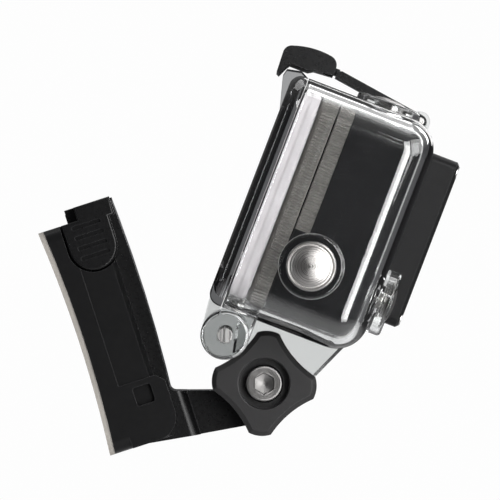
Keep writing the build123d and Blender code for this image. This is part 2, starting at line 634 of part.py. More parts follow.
with BuildPart() as back_door:
    # flange that closes against the shell's rear edge
    with BuildSketch(ahead(DOOR_REAR)):
        rectangle_between((-SHELL_HALF, SHELL_BOTTOM), (SHELL_HALF, SHELL_TOP), SHELL_CORNER)
    extrude(amount=DOOR_FRONT - DOOR_REAR)
    fillet(back_door.faces().sort_by(Axis.X)[0].edges(), radius=DOOR_RIM)
    # hollow plug that carries the seal
    with BuildSketch(ahead(DOOR_FRONT)):
        rectangle_between(
            (-SEAL_HALF + SEAL_THICKNESS, SEAL_BOTTOM + SEAL_THICKNESS),
            (SEAL_HALF - SEAL_THICKNESS, SEAL_TOP - SEAL_THICKNESS),
            CAVITY_CORNER - SEAL_THICKNESS,
        )
        rectangle_between((-26.6, 17.7), (26.6, 50.6), 2.0, Mode.SUBTRACT)
    extrude(amount=SEAL_FRONT - 0.5 - DOOR_FRONT)
    # top lip, flared back for the latch
    with BuildSketch(across(LIP_SPAN[1])):
        with BuildLine():
            Polyline(
                (-13.1, 49.5),
                (DOOR_REAR + 0.1, 49.5),
                (-16.5, 52.0),
                (-17.7, 56.3),
                (-17.4, 57.6),
                (-14.6, 58.2),
                (-13.1, 57.4),
                close=True,
            )
        make_face()
    extrude(amount=length_of(LIP_SPAN))
    fillet(back_door.edges().filter_by(Axis.Y).sort_by_distance((-17.4, 7, 57.6))[0], radius=0.3)
    # hinge lobes at both bottom corners
    add(hinge_lobes.part)
    for y in (HINGE_LOBE[1], -HINGE_LOBE[0]):
        with BuildSketch(across(y)):
            with BuildLine():
                Polyline(
                    (HINGE_X - HINGE_RADIUS, HINGE_Z),
                    (DOOR_REAR, 15.0),
                    (DOOR_FRONT, 15.0),
                    (DOOR_FRONT, 10.3),
                    (HINGE_X, 8.0),
                    close=True,
                )
            make_face()
        extrude(amount=length_of(HINGE_LOBE))
        with BuildSketch(across(y)):
            circle_at((HINGE_X, HINGE_Z), HINGE_PIN + 0.05)
        extrude(amount=length_of(HINGE_LOBE), mode=Mode.SUBTRACT)

with BuildPart() as door_seal:
    with BuildSketch(ahead(DOOR_FRONT)):
        rectangle_between((-SEAL_HALF, SEAL_BOTTOM), (SEAL_HALF, SEAL_TOP), CAVITY_CORNER)
        rectangle_between(
            (-SEAL_HALF + SEAL_THICKNESS, SEAL_BOTTOM + SEAL_THICKNESS),
            (SEAL_HALF - SEAL_THICKNESS, SEAL_TOP - SEAL_THICKNESS),
            CAVITY_CORNER - SEAL_THICKNESS,
            Mode.SUBTRACT,
        )
    extrude(amount=SEAL_FRONT - DOOR_FRONT)
    fillet(door_seal.faces().sort_by(Axis.X)[-1].outer_wire().edges(), radius=0.6)

with BuildPart() as door_hinge_pins:
    for y in (HINGE_LOBE[1] - 0.5, -HINGE_LUG[0] - 0.5):
        with BuildSketch(across(y)):
            circle_at((HINGE_X, HINGE_Z), HINGE_PIN)
        extrude(amount=HINGE_LOBE[1] - HINGE_LUG[0] - 1)

save(housing_shell, "housing_shell", CAMERA_PLACE)
save(lens_bezel, "lens_bezel", CAMERA_PLACE)
save(lens_window, "lens_window", CAMERA_PLACE)
save(lens_window_seal, "lens_window_seal", CAMERA_PLACE)
save(lens_bezel_screws, "lens_bezel_screws", CAMERA_PLACE)
save(back_door, "back_door", CAMERA_PLACE)
save(door_seal, "door_seal", CAMERA_PLACE)
save(door_hinge_pins, "door_hinge_pins", CAMERA_PLACE)

# === latch =======================================================================================

with BuildPart() as latch_arm:
    # plate that slopes down to its front barrel
    with BuildSketch(across(ARM_SPAN[1])):
        with BuildLine():
            Polyline(
                (ARM_PIVOT[0] + 0.2, ARM_PIVOT[1] + ARM_BARREL),
                (-7.4, 61.0),
                (-8.2, 60.7),
                (-8.2, 59.7),
                (8.4, 57.4),
                ARM_PIVOT,
                close=True,
            )
        make_face()
        circle_at(ARM_PIVOT, ARM_BARREL)
    extrude(amount=length_of(ARM_SPAN))
    # tongue with the rear barrel
    with BuildSketch(across(TONGUE_SPAN[1])):
        rectangle_between((HOOK_PIVOT[0], 60.0), (-7.8, 61.3))
        circle_at(HOOK_PIVOT, HOOK_BARREL)
    extrude(amount=length_of(TONGUE_SPAN))
    # lightening window on the underside, between the side ribs
    with BuildSketch(Plane.XY.offset(56.0)):
        rectangle_between((-6.2, ARM_SPAN[0] + 2.0), (6.0, ARM_SPAN[1] - 2.0), 1.0)
    extrude(amount=2.6, mode=Mode.SUBTRACT)
    for pivot, radius in ((ARM_PIVOT, ARM_PIN), (HOOK_PIVOT, HOOK_PIN)):
        with BuildSketch(across(ARM_SPAN[1] + 1)):
            circle_at(pivot, radius + 0.05)
        extrude(amount=length_of(ARM_SPAN) + 2, mode=Mode.SUBTRACT)

with BuildPart() as latch_hook:
    # block with the claw that reaches behind the door's lip
    with BuildSketch(across(HOOK_SPAN[1])):
        with BuildLine():
            Line((-8.7, 59.7), (-8.7, 61.2))
            ThreePointArc((-8.7, 61.2), (-9.2, 62.3), (-10.3, 62.9))
            ThreePointArc((-10.3, 62.9), (-14.4, 63.0), (-17.9, 62.2))
            ThreePointArc((-17.9, 62.2), (-18.9, 61.6), (-19.3, 60.5))
            Polyline(
                (-19.3, 60.5),
                (-19.1, 56.5),
                (-18.5, 56.2),
                (-17.6, 58.2),
                (-17.2, 58.8),
                (-13.5, 58.8),
                (-12.5, 59.4),
                (-8.7, 59.7),
            )
        make_face()
    extrude(amount=length_of(HOOK_SPAN))
    # slot for the arm's tongue
    with BuildSketch(across(TONGUE_SPAN[1] + 0.3)):
        circle_at(HOOK_PIVOT, HOOK_BARREL + 0.25)
        rectangle_between((HOOK_PIVOT[0], 58.0), (-8.0, 64.0))
    extrude(amount=length_of(TONGUE_SPAN) + 0.6, mode=Mode.SUBTRACT)
    with BuildSketch(across(HOOK_SPAN[1] - 0.6)):
        circle_at(HOOK_PIVOT, HOOK_PIN)
    extrude(amount=length_of(HOOK_SPAN) - 1.2, mode=Mode.SUBTRACT)
    # finger grooves across the top
    for x in (-16.9, -15.3, -13.7):
        with BuildSketch(across(HOOK_SPAN[1] - 3)):
            circle_at((x, 63.1), 0.5)
        extrude(amount=length_of(HOOK_SPAN) - 6, mode=Mode.SUBTRACT)

with BuildPart() as latch_arm_pin:
    with BuildSketch(across(ARM_SPAN[1] + 2.5)):
        circle_at(ARM_PIVOT, ARM_PIN)
    extrude(amount=length_of(ARM_SPAN) + 5)

with BuildPart() as latch_hook_pin:
    with BuildSketch(across(HOOK_SPAN[1] - 0.6)):
        circle_at(HOOK_PIVOT, HOOK_PIN)
    extrude(amount=length_of(HOOK_SPAN) - 1.2)

save(latch_arm, "latch_arm", CAMERA_PLACE)
save(latch_hook, "latch_hook", CAMERA_PLACE)
save(latch_arm_pin, "latch_arm_pin", CAMERA_PLACE)
save(latch_hook_pin, "latch_hook_pin", CAMERA_PLACE)

# === plungers through the shell, and the camera buttons under them ===============================

for name, (plane, wall, gap, seat, height, travel) in BUTTONS.items():
    clip_low, stem_end, camera_face, button_top = button_places(plane, wall, gap)
    cap_low = seat + travel + 0.1

    with BuildPart() as plunger:
        with BuildSketch(plane.offset(stem_end)):
            Circle(STEM)
        extrude(amount=cap_low + 0.5 - stem_end)
        with BuildSketch(plane.offset(cap_low)):
            Circle(CAP_RADIUS)
        extrude(amount=height + 0.6 - cap_low)
        chamfer(plunger.edges().sort_by(Axis(plane.origin, plane.z_dir))[-1], length=0.5)

    with BuildPart() as spring:
        with BuildSketch(plane.offset(seat)):
            Circle(3.2)
            Circle(2.5, mode=Mode.SUBTRACT)
        extrude(amount=cap_low - seat)

    with BuildPart() as ring_seal:
        with BuildSketch(plane.offset(seat - 1.1)):
            Circle(RING_BORE - 0.05)
            Circle(STEM, mode=Mode.SUBTRACT)
        extrude(amount=0.55)

    with BuildPart() as clip:
        with BuildSketch(plane.offset(clip_low)):
            Circle(2.6)
            Circle(STEM, mode=Mode.SUBTRACT)
            rectangle_between((0, -0.8), (3, 0.8), mode=Mode.SUBTRACT)
        extrude(amount=CLIP_THICKNESS)

    with BuildPart() as camera_button:
        with BuildSketch(plane.offset(camera_face - 2.9)):
            Circle(CAMERA_BUTTON_RADIUS)
        extrude(amount=button_top - camera_face + 2.9)
        chamfer(camera_button.edges().sort_by(Axis(plane.origin, plane.z_dir))[-1], length=0.2)

    save(plunger, f"{name}_plunger", CAMERA_PLACE)
    save(spring, f"{name}_plunger_spring", CAMERA_PLACE)
    save(ring_seal, f"{name}_plunger_seal", CAMERA_PLACE)
    save(clip, f"{name}_plunger_clip", CAMERA_PLACE)
    save(camera_button, f"camera_{name}_button", CAMERA_PLACE)

# === camera casing ===============================================================================


def camera_outline(inset, mode=Mode.ADD):
    """Add the camera's front outline to the current sketch, drawn in by the inset."""
    rectangle_between(
        (-CAMERA_HALF + inset, CAMERA_BOTTOM + inset),
        (CAMERA_HALF - inset, CAMERA_TOP - inset),
        CAMERA_CORNER - inset,
        mode,
    )


def band_end(mode):
    """Add or cut, in the current sketch, the right side's lower part, where the silver band is missing."""
    rectangle_between((-CAMERA_HALF - 1, CAMERA_BOTTOM - 1), (-CAMERA_HALF + 4, BAND_STOP), mode=mode)


with BuildPart() as camera_front_shell:
    with BuildSketch(ahead(BAND[1])):
        camera_outline(0)
    extrude(amount=CAMERA_FRONT - BAND[1])
    fillet(camera_front_shell.faces().sort_by(Axis.X)[-1].edges(), radius=CAMERA_NOSE)
    # tongue that the silver band sits on
    with BuildSketch(ahead(REAR_HALF_END)):
        camera_outline(BAND_DEPTH)
    extrude(amount=BAND[1] - REAR_HALF_END)
    # the black side runs back past the button where the band is missing
    with BuildSketch(ahead(BAND[0])):
        camera_outline(0)
        band_end(Mode.INTERSECT)
    extrude(amount=length_of(BAND))
    with BuildSketch(ahead(REAR_HALF_END)):
        camera_outline(BAND_DEPTH + 1.2)
    extrude(amount=CAMERA_FRONT - CAMERA_WALL - REAR_HALF_END, mode=Mode.SUBTRACT)
    # lens opening, status window, microphone hole, light and battery and port openings
    with BuildSketch(ahead(CAMERA_FRONT - 4)):
        circle_at((LENS_Y, LENS_Z), 10.0)
        rectangle_between((-25.0, 36.0), (-9.0, 48.0), 1.5)
        circle_at((2.0, 50.5), 0.7)
        circle_at((-4.5, 50.0), 1.2)
    extrude(amount=8, mode=Mode.SUBTRACT)
    with BuildSketch(Plane.XY.offset(CAMERA_BOTTOM - 1)):
        rectangle_between((0.5, -26.0), (8.9, -0.5), 1.0)
    extrude(amount=5, mode=Mode.SUBTRACT)
    with BuildSketch(across(CAMERA_HALF + 1)):
        rectangle_between((0.5, 18.0), (8.5, 49.0), 1.5)
    extrude(amount=5, mode=Mode.SUBTRACT)
    # a thick seat and a dish for each button
    for plane, wall, gap, seat, height, travel in BUTTONS.values():
        camera_face = button_places(plane, wall, gap)[2]
        with BuildSketch(plane.offset(camera_face - 2.9)):
            Circle(4.6)
        extrude(amount=2.4)
    with BuildSketch(ahead(REAR_HALF_END)):
        camera_outline(0)
    extrude(amount=CAMERA_FRONT - REAR_HALF_END, mode=Mode.INTERSECT)
    for plane, wall, gap, seat, height, travel in BUTTONS.values():
        camera_face, button_top = button_places(plane, wall, gap)[2:]
        with BuildSketch(plane.offset(button_top - 0.25)):
            Circle(4.2)
        extrude(amount=camera_face - button_top + 1, mode=Mode.SUBTRACT)
        with BuildSketch(plane.offset(camera_face - 4)):
            Circle(CAMERA_BUTTON_RADIUS + 0.1)
        extrude(amount=5, mode=Mode.SUBTRACT)

with BuildPart() as camera_band:
    with BuildSketch(ahead(BAND[0])):
        camera_outline(0)
        camera_outline(BAND_DEPTH, Mode.SUBTRACT)
        band_end(Mode.SUBTRACT)
    extrude(amount=length_of(BAND))

with BuildPart() as camera_rear_shell:
    with BuildSketch(ahead(CAMERA_REAR)):
        camera_outline(0)
    extrude(amount=REAR_HALF_END - CAMERA_REAR)
    fillet(camera_rear_shell.faces().sort_by(Axis.X)[0].edges(), radius=0.8)
    with BuildSketch(ahead(CAMERA_REAR + CAMERA_WALL)):
        camera_outline(BAND_DEPTH + 1.2)
    extrude(amount=6, mode=Mode.SUBTRACT)
    # fine grooves round the edge
    for x in REAR_GROOVES:
        with BuildSketch(ahead(x)):
            camera_outline(0)
            camera_outline(0.25, Mode.SUBTRACT)
        extrude(amount=REAR_GROOVE_WIDTH, mode=Mode.SUBTRACT)
    # screw holes and the rear connector window
    with BuildSketch(ahead(CAMERA_REAR)):
        with Locations((0, (CAMERA_BOTTOM + CAMERA_TOP) / 2)):
            with GridLocations(52.0, 33.5, 2, 2):
                Circle(1.5)
        rectangle_between((-9.0, 15.9), (9.0, 19.4), 0.8)
    extrude(amount=0.9, mode=Mode.SUBTRACT)

with BuildPart() as case_screws:
    with BuildSketch(ahead(CAMERA_REAR + 0.1)):
        with Locations((0, (CAMERA_BOTTOM + CAMERA_TOP) / 2)):
            with GridLocations(52.0, 33.5, 2, 2):
                Circle(1.4)
    extrude(amount=0.7)
    with BuildSketch(ahead(CAMERA_REAR + 0.1)):
        with Locations((0, (CAMERA_BOTTOM + CAMERA_TOP) / 2)):
            with GridLocations(52.0, 33.5, 2, 2):
                Rectangle(1.5, 0.35)
                Rectangle(0.35, 1.5)
    extrude(amount=0.35, mode=Mode.SUBTRACT)

with BuildPart() as side_port_door:
    with BuildSketch(across(CAMERA_HALF)):
        rectangle_between((0.65, 18.15), (8.35, 48.85), 1.4)
    extrude(amount=1.2)
    fillet(side_port_door.faces().sort_by(Axis.Y)[-1].edges(), radius=0.3)

with BuildPart() as battery_door:
    with BuildSketch(Plane.XY.offset(CAMERA_BOTTOM)):
        rectangle_between((0.65, -25.85), (8.75, -0.65), 0.9)
    extrude(amount=1.2)
    fillet(battery_door.faces().sort_by(Axis.Z)[0].edges(), radius=0.3)

with BuildPart() as status_window:
    with BuildSketch(ahead(CAMERA_FRONT - 1.1)):
        rectangle_between((-24.9, 36.1), (-9.1, 47.9), 1.4)
    extrude(amount=1.0)

with BuildPart() as status_display:
    with BuildSketch(ahead(CAMERA_FRONT - 2.6)):
        rectangle_between((-24.2, 36.6), (-9.8, 47.4))
    extrude(amount=1.5)

with BuildPart() as status_lights:
    with BuildSketch(ahead(CAMERA_FRONT - 2.0)):
        circle_at((-4.5, 50.0), 1.1)
    extrude(amount=1.9)
    fillet(status_lights.faces().sort_by(Axis.X)[-1].edges(), radius=0.3)

save(camera_front_shell, "camera_front_shell", CAMERA_PLACE)
save(camera_band, "camera_band", CAMERA_PLACE)
save(camera_rear_shell, "camera_rear_shell", CAMERA_PLACE)
save(case_screws, "case_screws", CAMERA_PLACE)
save(side_port_door, "side_port_door", CAMERA_PLACE)
save(battery_door, "battery_door", CAMERA_PLACE)
save(status_window, "status_window", CAMERA_PLACE)
save(status_display, "status_display", CAMERA_PLACE)
save(status_lights, "status_lights", CAMERA_PLACE)

# === lens and electronics ========================================================================

with BuildPart() as lens_ring:
    with BuildSketch(ahead(CAMERA_FRONT)):
        circle_at((LENS_Y, LENS_Z), 10.8)
        circle_at((LENS_Y, LENS_Z), 8.7, Mode.SUBTRACT)
    extrude(amount=4.2)
    chamfer(lens_ring.faces().sort_by(Axis.X)[-1].edges(), length=0.5)

with BuildPart() as lens_barrel:
    with BuildSketch(ahead(0.5)):
        circle_at((LENS_Y, LENS_Z), 8.65)
    extrude(amount=16.1)
    with BuildSketch(ahead(0.5)):
        circle_at((LENS_Y, LENS_Z), 6.4)
    extrude(amount=17, mode=Mode.SUBTRACT)
    with BuildSketch(ahead(14.4)):
        circle_at((LENS_Y, LENS_Z), 7.6)
    extrude(amount=5, mode=Mode.SUBTRACT)
    chamfer(lens_barrel.faces().sort_by(Axis.X)[-1].outer_wire().edges(), length=0.4)

with BuildPart() as lens_front_element:
    with BuildSketch(Plane(origin=(0, LENS_Y, LENS_Z), x_dir=(1, 0, 0), z_dir=(0, -1, 0))):
        with BuildLine():
            RadiusArc((16.5, 0.0), (14.5, 7.4), -14.69)
            Polyline((14.5, 7.4), (14.5, 0.0), (16.5, 0.0))
        make_face()
    revolve(axis=Axis((0, LENS_Y, LENS_Z), (1, 0, 0)))

with BuildPart() as lens_inner_elements:
    for x in (3.0, 6.5, 10.0):
        with BuildSketch(ahead(x)):
            circle_at((LENS_Y, LENS_Z), 6.35)
        extrude(amount=1.6)

with BuildPart() as lens_holder:
    with BuildSketch(ahead(-3.0)):
        circle_at((LENS_Y, LENS_Z), 9.4)
        circle_at((LENS_Y, LENS_Z), 8.7, Mode.SUBTRACT)
    extrude(amount=8.0)
    with BuildSketch(ahead(-3.0)):
        circle_at((LENS_Y, LENS_Z), 8.8)
        circle_at((LENS_Y, LENS_Z), 5.0, Mode.SUBTRACT)
    extrude(amount=2.0)

with BuildPart() as image_sensor:
    with BuildSketch(ahead(-4.2)):
        with Locations((LENS_Y, LENS_Z)):
            Rectangle(8.0, 6.4)
    extrude(amount=1.1)

with BuildPart() as main_board:
    with BuildSketch(ahead(-5.4)):
        rectangle_between((-26.5, 16.4), (26.5, 51.6), 1.5)
        with Locations((0, 34)):
            with GridLocations(48.0, 30.0, 2, 2):
                Circle(1.1, mode=Mode.SUBTRACT)
    extrude(amount=1.2)

with BuildPart() as processor:
    with BuildSketch(ahead(-6.6)):
        rectangle_between((-7.0, 27.0), (7.0, 41.0))
    extrude(amount=1.2)

with BuildPart() as heat_spreader:
    with BuildSketch(ahead(-7.4)):
        rectangle_between((-22.0, 20.5), (22.0, 48.0), 2.0)
    extrude(amount=0.8)

with BuildPart() as wireless_board:
    with BuildSketch(Plane.XY.offset(49.2)):
        rectangle_between((-3.2, 4.0), (8.0, 22.0), 0.5)
    extrude(amount=1.0)

with BuildPart() as side_ports:
    with BuildSketch(across(27.2)):
        for low, high in (((0.6, 30.0), (3.6, 38.0)), ((0.6, 40.0), (4.0, 47.0))):
            rectangle_between(low, high, 0.8)
            rectangle_between(
                (low[0] + 0.4, low[1] + 0.4), (high[0] - 0.4, high[1] - 0.4), 0.5, Mode.SUBTRACT
            )
    extrude(amount=3.4)

with BuildPart() as card_socket:
    with BuildSketch(across(25.6)):
        rectangle_between((0.6, 15.9), (3.0, 26.2), 0.3)
        rectangle_between((1.1, 16.3), (2.5, 25.8), mode=Mode.SUBTRACT)
    extrude(amount=11.6)

with BuildPart() as memory_card:
    with BuildSketch(across(25.4)):
        rectangle_between((1.3, 16.5), (2.3, 25.6), 0.2)
    extrude(amount=11.2)

with BuildPart() as battery:
    with BuildSketch(Plane.XY.offset(15.2)):
        rectangle_between((0.9, -24.5), (8.5, -1.5), 1.2)
    extrude(amount=33.6)

with BuildPart() as speaker:
    with BuildSketch(ahead(7.4)):
        circle_at((11.0, 21.6), 5.0)
    extrude(amount=2.8)

with BuildPart() as microphone:
    with BuildSketch(ahead(8.2)):
        circle_at((2.0, 50.5), 1.2)
    extrude(amount=2.0)

save(lens_ring, "lens_ring", CAMERA_PLACE)
save(lens_barrel, "lens_barrel", CAMERA_PLACE)
save(lens_front_element, "lens_front_element", CAMERA_PLACE)
save(lens_inner_elements, "lens_inner_elements", CAMERA_PLACE)
save(lens_holder, "lens_holder", CAMERA_PLACE)
save(image_sensor, "image_sensor", CAMERA_PLACE)
save(main_board, "main_board", CAMERA_PLACE)
save(processor, "processor", CAMERA_PLACE)
save(heat_spreader, "heat_spreader", CAMERA_PLACE)
save(wireless_board, "wireless_board", CAMERA_PLACE)
save(side_ports, "side_ports", CAMERA_PLACE)
save(card_socket, "card_socket", CAMERA_PLACE)
save(memory_card, "memory_card", CAMERA_PLACE)
save(battery, "battery", CAMERA_PLACE)
save(speaker, "speaker", CAMERA_PLACE)
save(microphone, "microphone", CAMERA_PLACE)
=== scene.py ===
import json
from math import cos, pi, radians, sin, tau

import bmesh
import bpy
from mathutils import Matrix, Vector, noise


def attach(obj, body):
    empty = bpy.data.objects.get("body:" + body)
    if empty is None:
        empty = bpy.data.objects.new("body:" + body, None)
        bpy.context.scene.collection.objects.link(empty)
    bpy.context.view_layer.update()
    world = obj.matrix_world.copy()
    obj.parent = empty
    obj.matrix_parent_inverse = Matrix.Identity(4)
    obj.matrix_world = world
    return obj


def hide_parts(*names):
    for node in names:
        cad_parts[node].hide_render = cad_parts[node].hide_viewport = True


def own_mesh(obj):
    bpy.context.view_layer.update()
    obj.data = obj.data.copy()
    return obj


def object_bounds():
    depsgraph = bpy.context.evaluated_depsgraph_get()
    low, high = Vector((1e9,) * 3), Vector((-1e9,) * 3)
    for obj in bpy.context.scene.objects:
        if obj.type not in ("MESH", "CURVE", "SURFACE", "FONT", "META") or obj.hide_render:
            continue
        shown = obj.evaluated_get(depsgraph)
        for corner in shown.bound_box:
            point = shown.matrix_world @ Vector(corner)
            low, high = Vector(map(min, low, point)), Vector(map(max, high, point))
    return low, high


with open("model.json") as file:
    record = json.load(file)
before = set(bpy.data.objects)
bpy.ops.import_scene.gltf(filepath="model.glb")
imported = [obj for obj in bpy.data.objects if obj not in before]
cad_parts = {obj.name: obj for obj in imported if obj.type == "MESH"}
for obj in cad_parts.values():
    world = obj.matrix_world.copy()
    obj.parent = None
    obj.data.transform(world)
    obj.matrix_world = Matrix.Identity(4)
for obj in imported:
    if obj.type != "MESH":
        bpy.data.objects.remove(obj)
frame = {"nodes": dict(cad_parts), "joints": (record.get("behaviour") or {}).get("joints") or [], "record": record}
cad_low, cad_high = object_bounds()
scene = bpy.context.scene

# The record's joints give the two frames that the object is built in, so nothing here is fitted by eye:
#   camera frame  X the way the lens looks, Y to the camera's left, Z up, origin on the thumbscrew's axis
#   mount frame   X out of the surface that the base sticks to, Z up along the base
# Lengths in both are written in millimetres, as in the CAD.
MM = 0.001
joints = {joint["name"]: joint for joint in frame["joints"]}


def frame_matrix(x_axis, z_axis, origin):
    """The matrix that takes a local point, in metres, to the row frame."""
    y_axis = z_axis.cross(x_axis)
    turned_axes = Matrix((x_axis, y_axis, z_axis)).transposed().to_4x4()
    return Matrix.Translation(origin) @ turned_axes


CAMERA_X = -Vector(joints["mode_press"]["axis"])
CAMERA_Z = -Vector(joints["shutter_press"]["axis"])
CAMERA = frame_matrix(CAMERA_X, CAMERA_Z, Vector(joints["camera_tilt"]["pos_m"]))
MOUNT_Z = Vector(joints["buckle_slide"]["axis"])
MOUNT_X = Vector(joints["left_tab_squeeze"]["axis"])
MOUNT = frame_matrix(MOUNT_X, MOUNT_Z, Vector((0, 0, 0)))


def place(matrix, x, y, z):
    """A point of a local frame, given in millimetres, in the row frame."""
    return matrix @ (Vector((x, y, z)) * MM)


# --- camera and lights ----------------------------------------------------------------------------

VIEW_SHARE = 0.84  # of the picture's width that the object fills
FOCAL = 600.0
SENSOR = 36.0
CLIP_START = 0.01

middle = (cad_low + cad_high) / 2


def add_camera():
    """A long lens square on to the object's right-hand side."""
    span = max(cad_high.x - cad_low.x, cad_high.z - cad_low.z)
    distance = span / VIEW_SHARE * FOCAL / SENSOR
    camera = bpy.data.objects.new("camera", bpy.data.cameras.new("camera"))
    camera.data.lens = FOCAL
    camera.data.sensor_width = SENSOR
    camera.data.clip_start = CLIP_START
    camera.location = middle - Vector((0, distance, 0))
    camera.rotation_euler = (pi / 2, 0, 0)
    scene.collection.objects.link(camera)
    scene.camera = camera
    scene.view_settings.view_transform = "Standard"


def area_light(name, offset, size, power, colour=(1, 1, 1)):
    """A softbox of the given width and height, this far from the object's middle and turned to it."""
    light = bpy.data.lights.new(name, "AREA")
    light.shape = "RECTANGLE"
    light.size, light.size_y = size
    light.energy = power
    light.color = colour
    lamp = bpy.data.objects.new(name, light)
    lamp.location = middle + Vector(offset)
    lamp.rotation_euler = (middle - lamp.location).to_track_quat("-Z", "Y").to_euler()
    scene.collection.objects.link(lamp)


add_camera()
# The key stands where the rounded front edge of the clear case mirrors it, along the whole edge.
area_light("key", (0.25, -0.55, 0.02), (0.22, 0.60), 4.3)
area_light("side", (0.53, -0.30, 0.10), (0.46, 0.50), 3.2)
area_light("fill", (-0.50, -0.45, 0.10), (0.10, 0.50), 0.6, (0.96, 0.98, 1))
area_light("top", (0.05, 0.05, 0.60), (0.50, 0.50), 2.2)
area_light("rim", (0.30, 0.50, 0.25), (0.30, 0.40), 1.2)

# --- shader nodes ---------------------------------------------------------------------------------


def node(tree, kind, inputs=None, **settings):
    """Add a shader node. Inputs are plain values, or sockets that are linked."""
    added = tree.nodes.new("ShaderNode" + kind)
    for key, value in settings.items():
        setattr(added, key, value)
    for key, value in (inputs or {}).items():
        if isinstance(value, bpy.types.NodeSocket):
            tree.links.new(value, added.inputs[key])
        else:
            added.inputs[key].default_value = value
    return added


def rgba(colour):
    return (*colour, 1.0)


def scaled(colour, factor):
    return tuple(min(1.0, channel * factor) for channel in colour)


def base_tree(name):
    material = bpy.data.materials.new(name)
    material.use_nodes = True
    material.node_tree.nodes.clear()
    return material, material.node_tree


def noise_at(tree, scale, detail=2.0, stretch=(1, 1, 1), roughness=0.5):
    """Noise with features of about 1 / scale metres, drawn out along an axis by a stretch under 1."""
    where = node(tree, "TexCoord").outputs["Object"]
    where = node(tree, "Mapping", {"Vector": where, "Scale": stretch}).outputs[0]
    return node(tree, "TexNoise", {"Vector": where, "Scale": scale, "Detail": detail,
                                   "Roughness": roughness}).outputs["Fac"]


def remap(tree, value, low, high, to_low, to_high):
    return node(tree, "MapRange", {"Value": value, "From Min": low, "From Max": high,
                                   "To Min": to_low, "To Max": to_high}).outputs[0]


def blend_colours(tree, factor, first, second):
    """A colour between two, each a plain colour or a socket."""
    mix = node(tree, "Mix", data_type="RGBA")
    for index, value in ((0, factor), (6, first), (7, second)):
        if isinstance(value, bpy.types.NodeSocket):
            tree.links.new(value, mix.inputs[index])
        else:
            mix.inputs[index].default_value = value if index == 0 else rgba(value)
    return mix.outputs[2]


def add_studio():
    """A dim studio that lights and is mirrored, and a plain pale backdrop that is only looked at."""
    world = bpy.data.worlds.new("studio")
    scene.world = world
    world.use_nodes = True
    tree = world.node_tree
    tree.nodes.clear()
    direction = node(tree, "TexCoord").outputs["Generated"]
    height = node(tree, "SeparateXYZ", {0: direction}).outputs["Z"]
    ramp = node(tree, "ValToRGB", {0: node(tree, "MapRange", {0: height, 1: -1.0, 2: 1.0}).outputs[0]})
    ramp.color_ramp.elements[0].color = (0.30, 0.30, 0.31, 1)
    ramp.color_ramp.elements[1].color = (0.60, 0.60, 0.60, 1)
    horizon = ramp.color_ramp.elements.new(0.5)
    horizon.color = (0.08, 0.08, 0.085, 1)
    path = node(tree, "LightPath")
    bounces = node(tree, "Math", {0: path.outputs["Diffuse Depth"], 1: path.outputs["Glossy Depth"]},
                   operation="ADD", use_clamp=True)
    studio = node(tree, "Background", {"Color": ramp.outputs["Color"], "Strength": 0.8})
    backdrop = node(tree, "Background", {"Color": (0.985, 0.985, 0.985, 1), "Strength": 1.0})
    mixed = node(tree, "MixShader", {0: bounces.outputs[0], 1: backdrop.outputs[0], 2: studio.outputs[0]})
    node(tree, "OutputWorld", {"Surface": mixed.outputs[0]})


add_studio()

# --- materials ------------------------------------------------------------------------------------

WORN_RADIUS = 0.25  # how far from a moulded edge its wear shows, in millimetres
THICK_PAINTED_SHADE_TINT = (0.72, 0.72, 0.725)  # painted shade: a grey tint where clear plastic is thick, standing in for the dark surroundings seen through it


def edge_wear(tree, radius, breakup_scale):
    """Near 1 along edges, broken up by noise, and 0 on flat or gently curved faces."""
    rounded = node(tree, "Bevel", {"Radius": radius}, samples=4).outputs[0]
    flat = node(tree, "NewGeometry").outputs["Normal"]
    along = node(tree, "VectorMath", {0: rounded, 1: flat}, operation="DOT_PRODUCT").outputs["Value"]
    edge = remap(tree, along, 0.995, 0.86, 0.0, 1.0)
    patchy = remap(tree, noise_at(tree, breakup_scale, 3.0), 0.35, 0.65, 0.3, 1.0)
    return node(tree, "Math", {0: edge, 1: patchy}, operation="MULTIPLY").outputs[0]


def moulded(name, colour, roughness, grain=5000, relief=12e-6, worn=None, specular=0.5):
    """Moulded plastic or rubber: fine grain, uneven sheen, and edges rubbed a little brighter."""
    material, tree = base_tree(name)
    cloud = remap(tree, noise_at(tree, 240, 4.0), 0.3, 0.7, 0.0, 1.0)
    shade = blend_colours(tree, cloud, scaled(colour, 0.93), scaled(colour, 1.07))
    if worn:
        shade = blend_colours(tree, edge_wear(tree, WORN_RADIUS * MM, 2500), shade, worn)
    rough = remap(tree, noise_at(tree, 1400, 3.0), 0.3, 0.7, roughness - 0.02, roughness + 0.03)
    bump = node(tree, "Bump", {"Height": noise_at(tree, grain, 3.0), "Strength": 1.0, "Distance": relief})
    shader = node(tree, "BsdfPrincipled", {
        "Base Color": shade, "Roughness": rough, "Normal": bump.outputs[0], "Specular IOR Level": specular})
    node(tree, "OutputMaterial", {"Surface": shader.outputs[0]})
    return material


def metal(name, colour, roughness, stretch=(1, 1, 1), scale=2500, relief=4e-6, worn=None):
    """Bare or painted metal with a brushed or blasted grain along the stretched axis."""
    material, tree = base_tree(name)
    grain = noise_at(tree, scale, 3.0, stretch)
    cloud = remap(tree, noise_at(tree, 220, 3.0), 0.3, 0.7, 0.0, 1.0)
    shade = blend_colours(tree, cloud, scaled(colour, 0.88), scaled(colour, 1.08))
    shade = blend_colours(tree, remap(tree, grain, 0.3, 0.7, 0.0, 0.35), shade, scaled(colour, 0.7))
    if worn:
        shade = blend_colours(tree, edge_wear(tree, 0.2 * MM, 1200), shade, worn)
    rough = remap(tree, grain, 0.3, 0.7, roughness - 0.07, roughness + 0.09)
    bump = node(tree, "Bump", {"Height": grain, "Strength": 1.0, "Distance": relief})
    shader = node(tree, "BsdfPrincipled", {
        "Base Color": shade, "Metallic": 1.0, "Roughness": rough, "Normal": bump.outputs[0]})
    node(tree, "OutputMaterial", {"Surface": shader.outputs[0]})
    return material


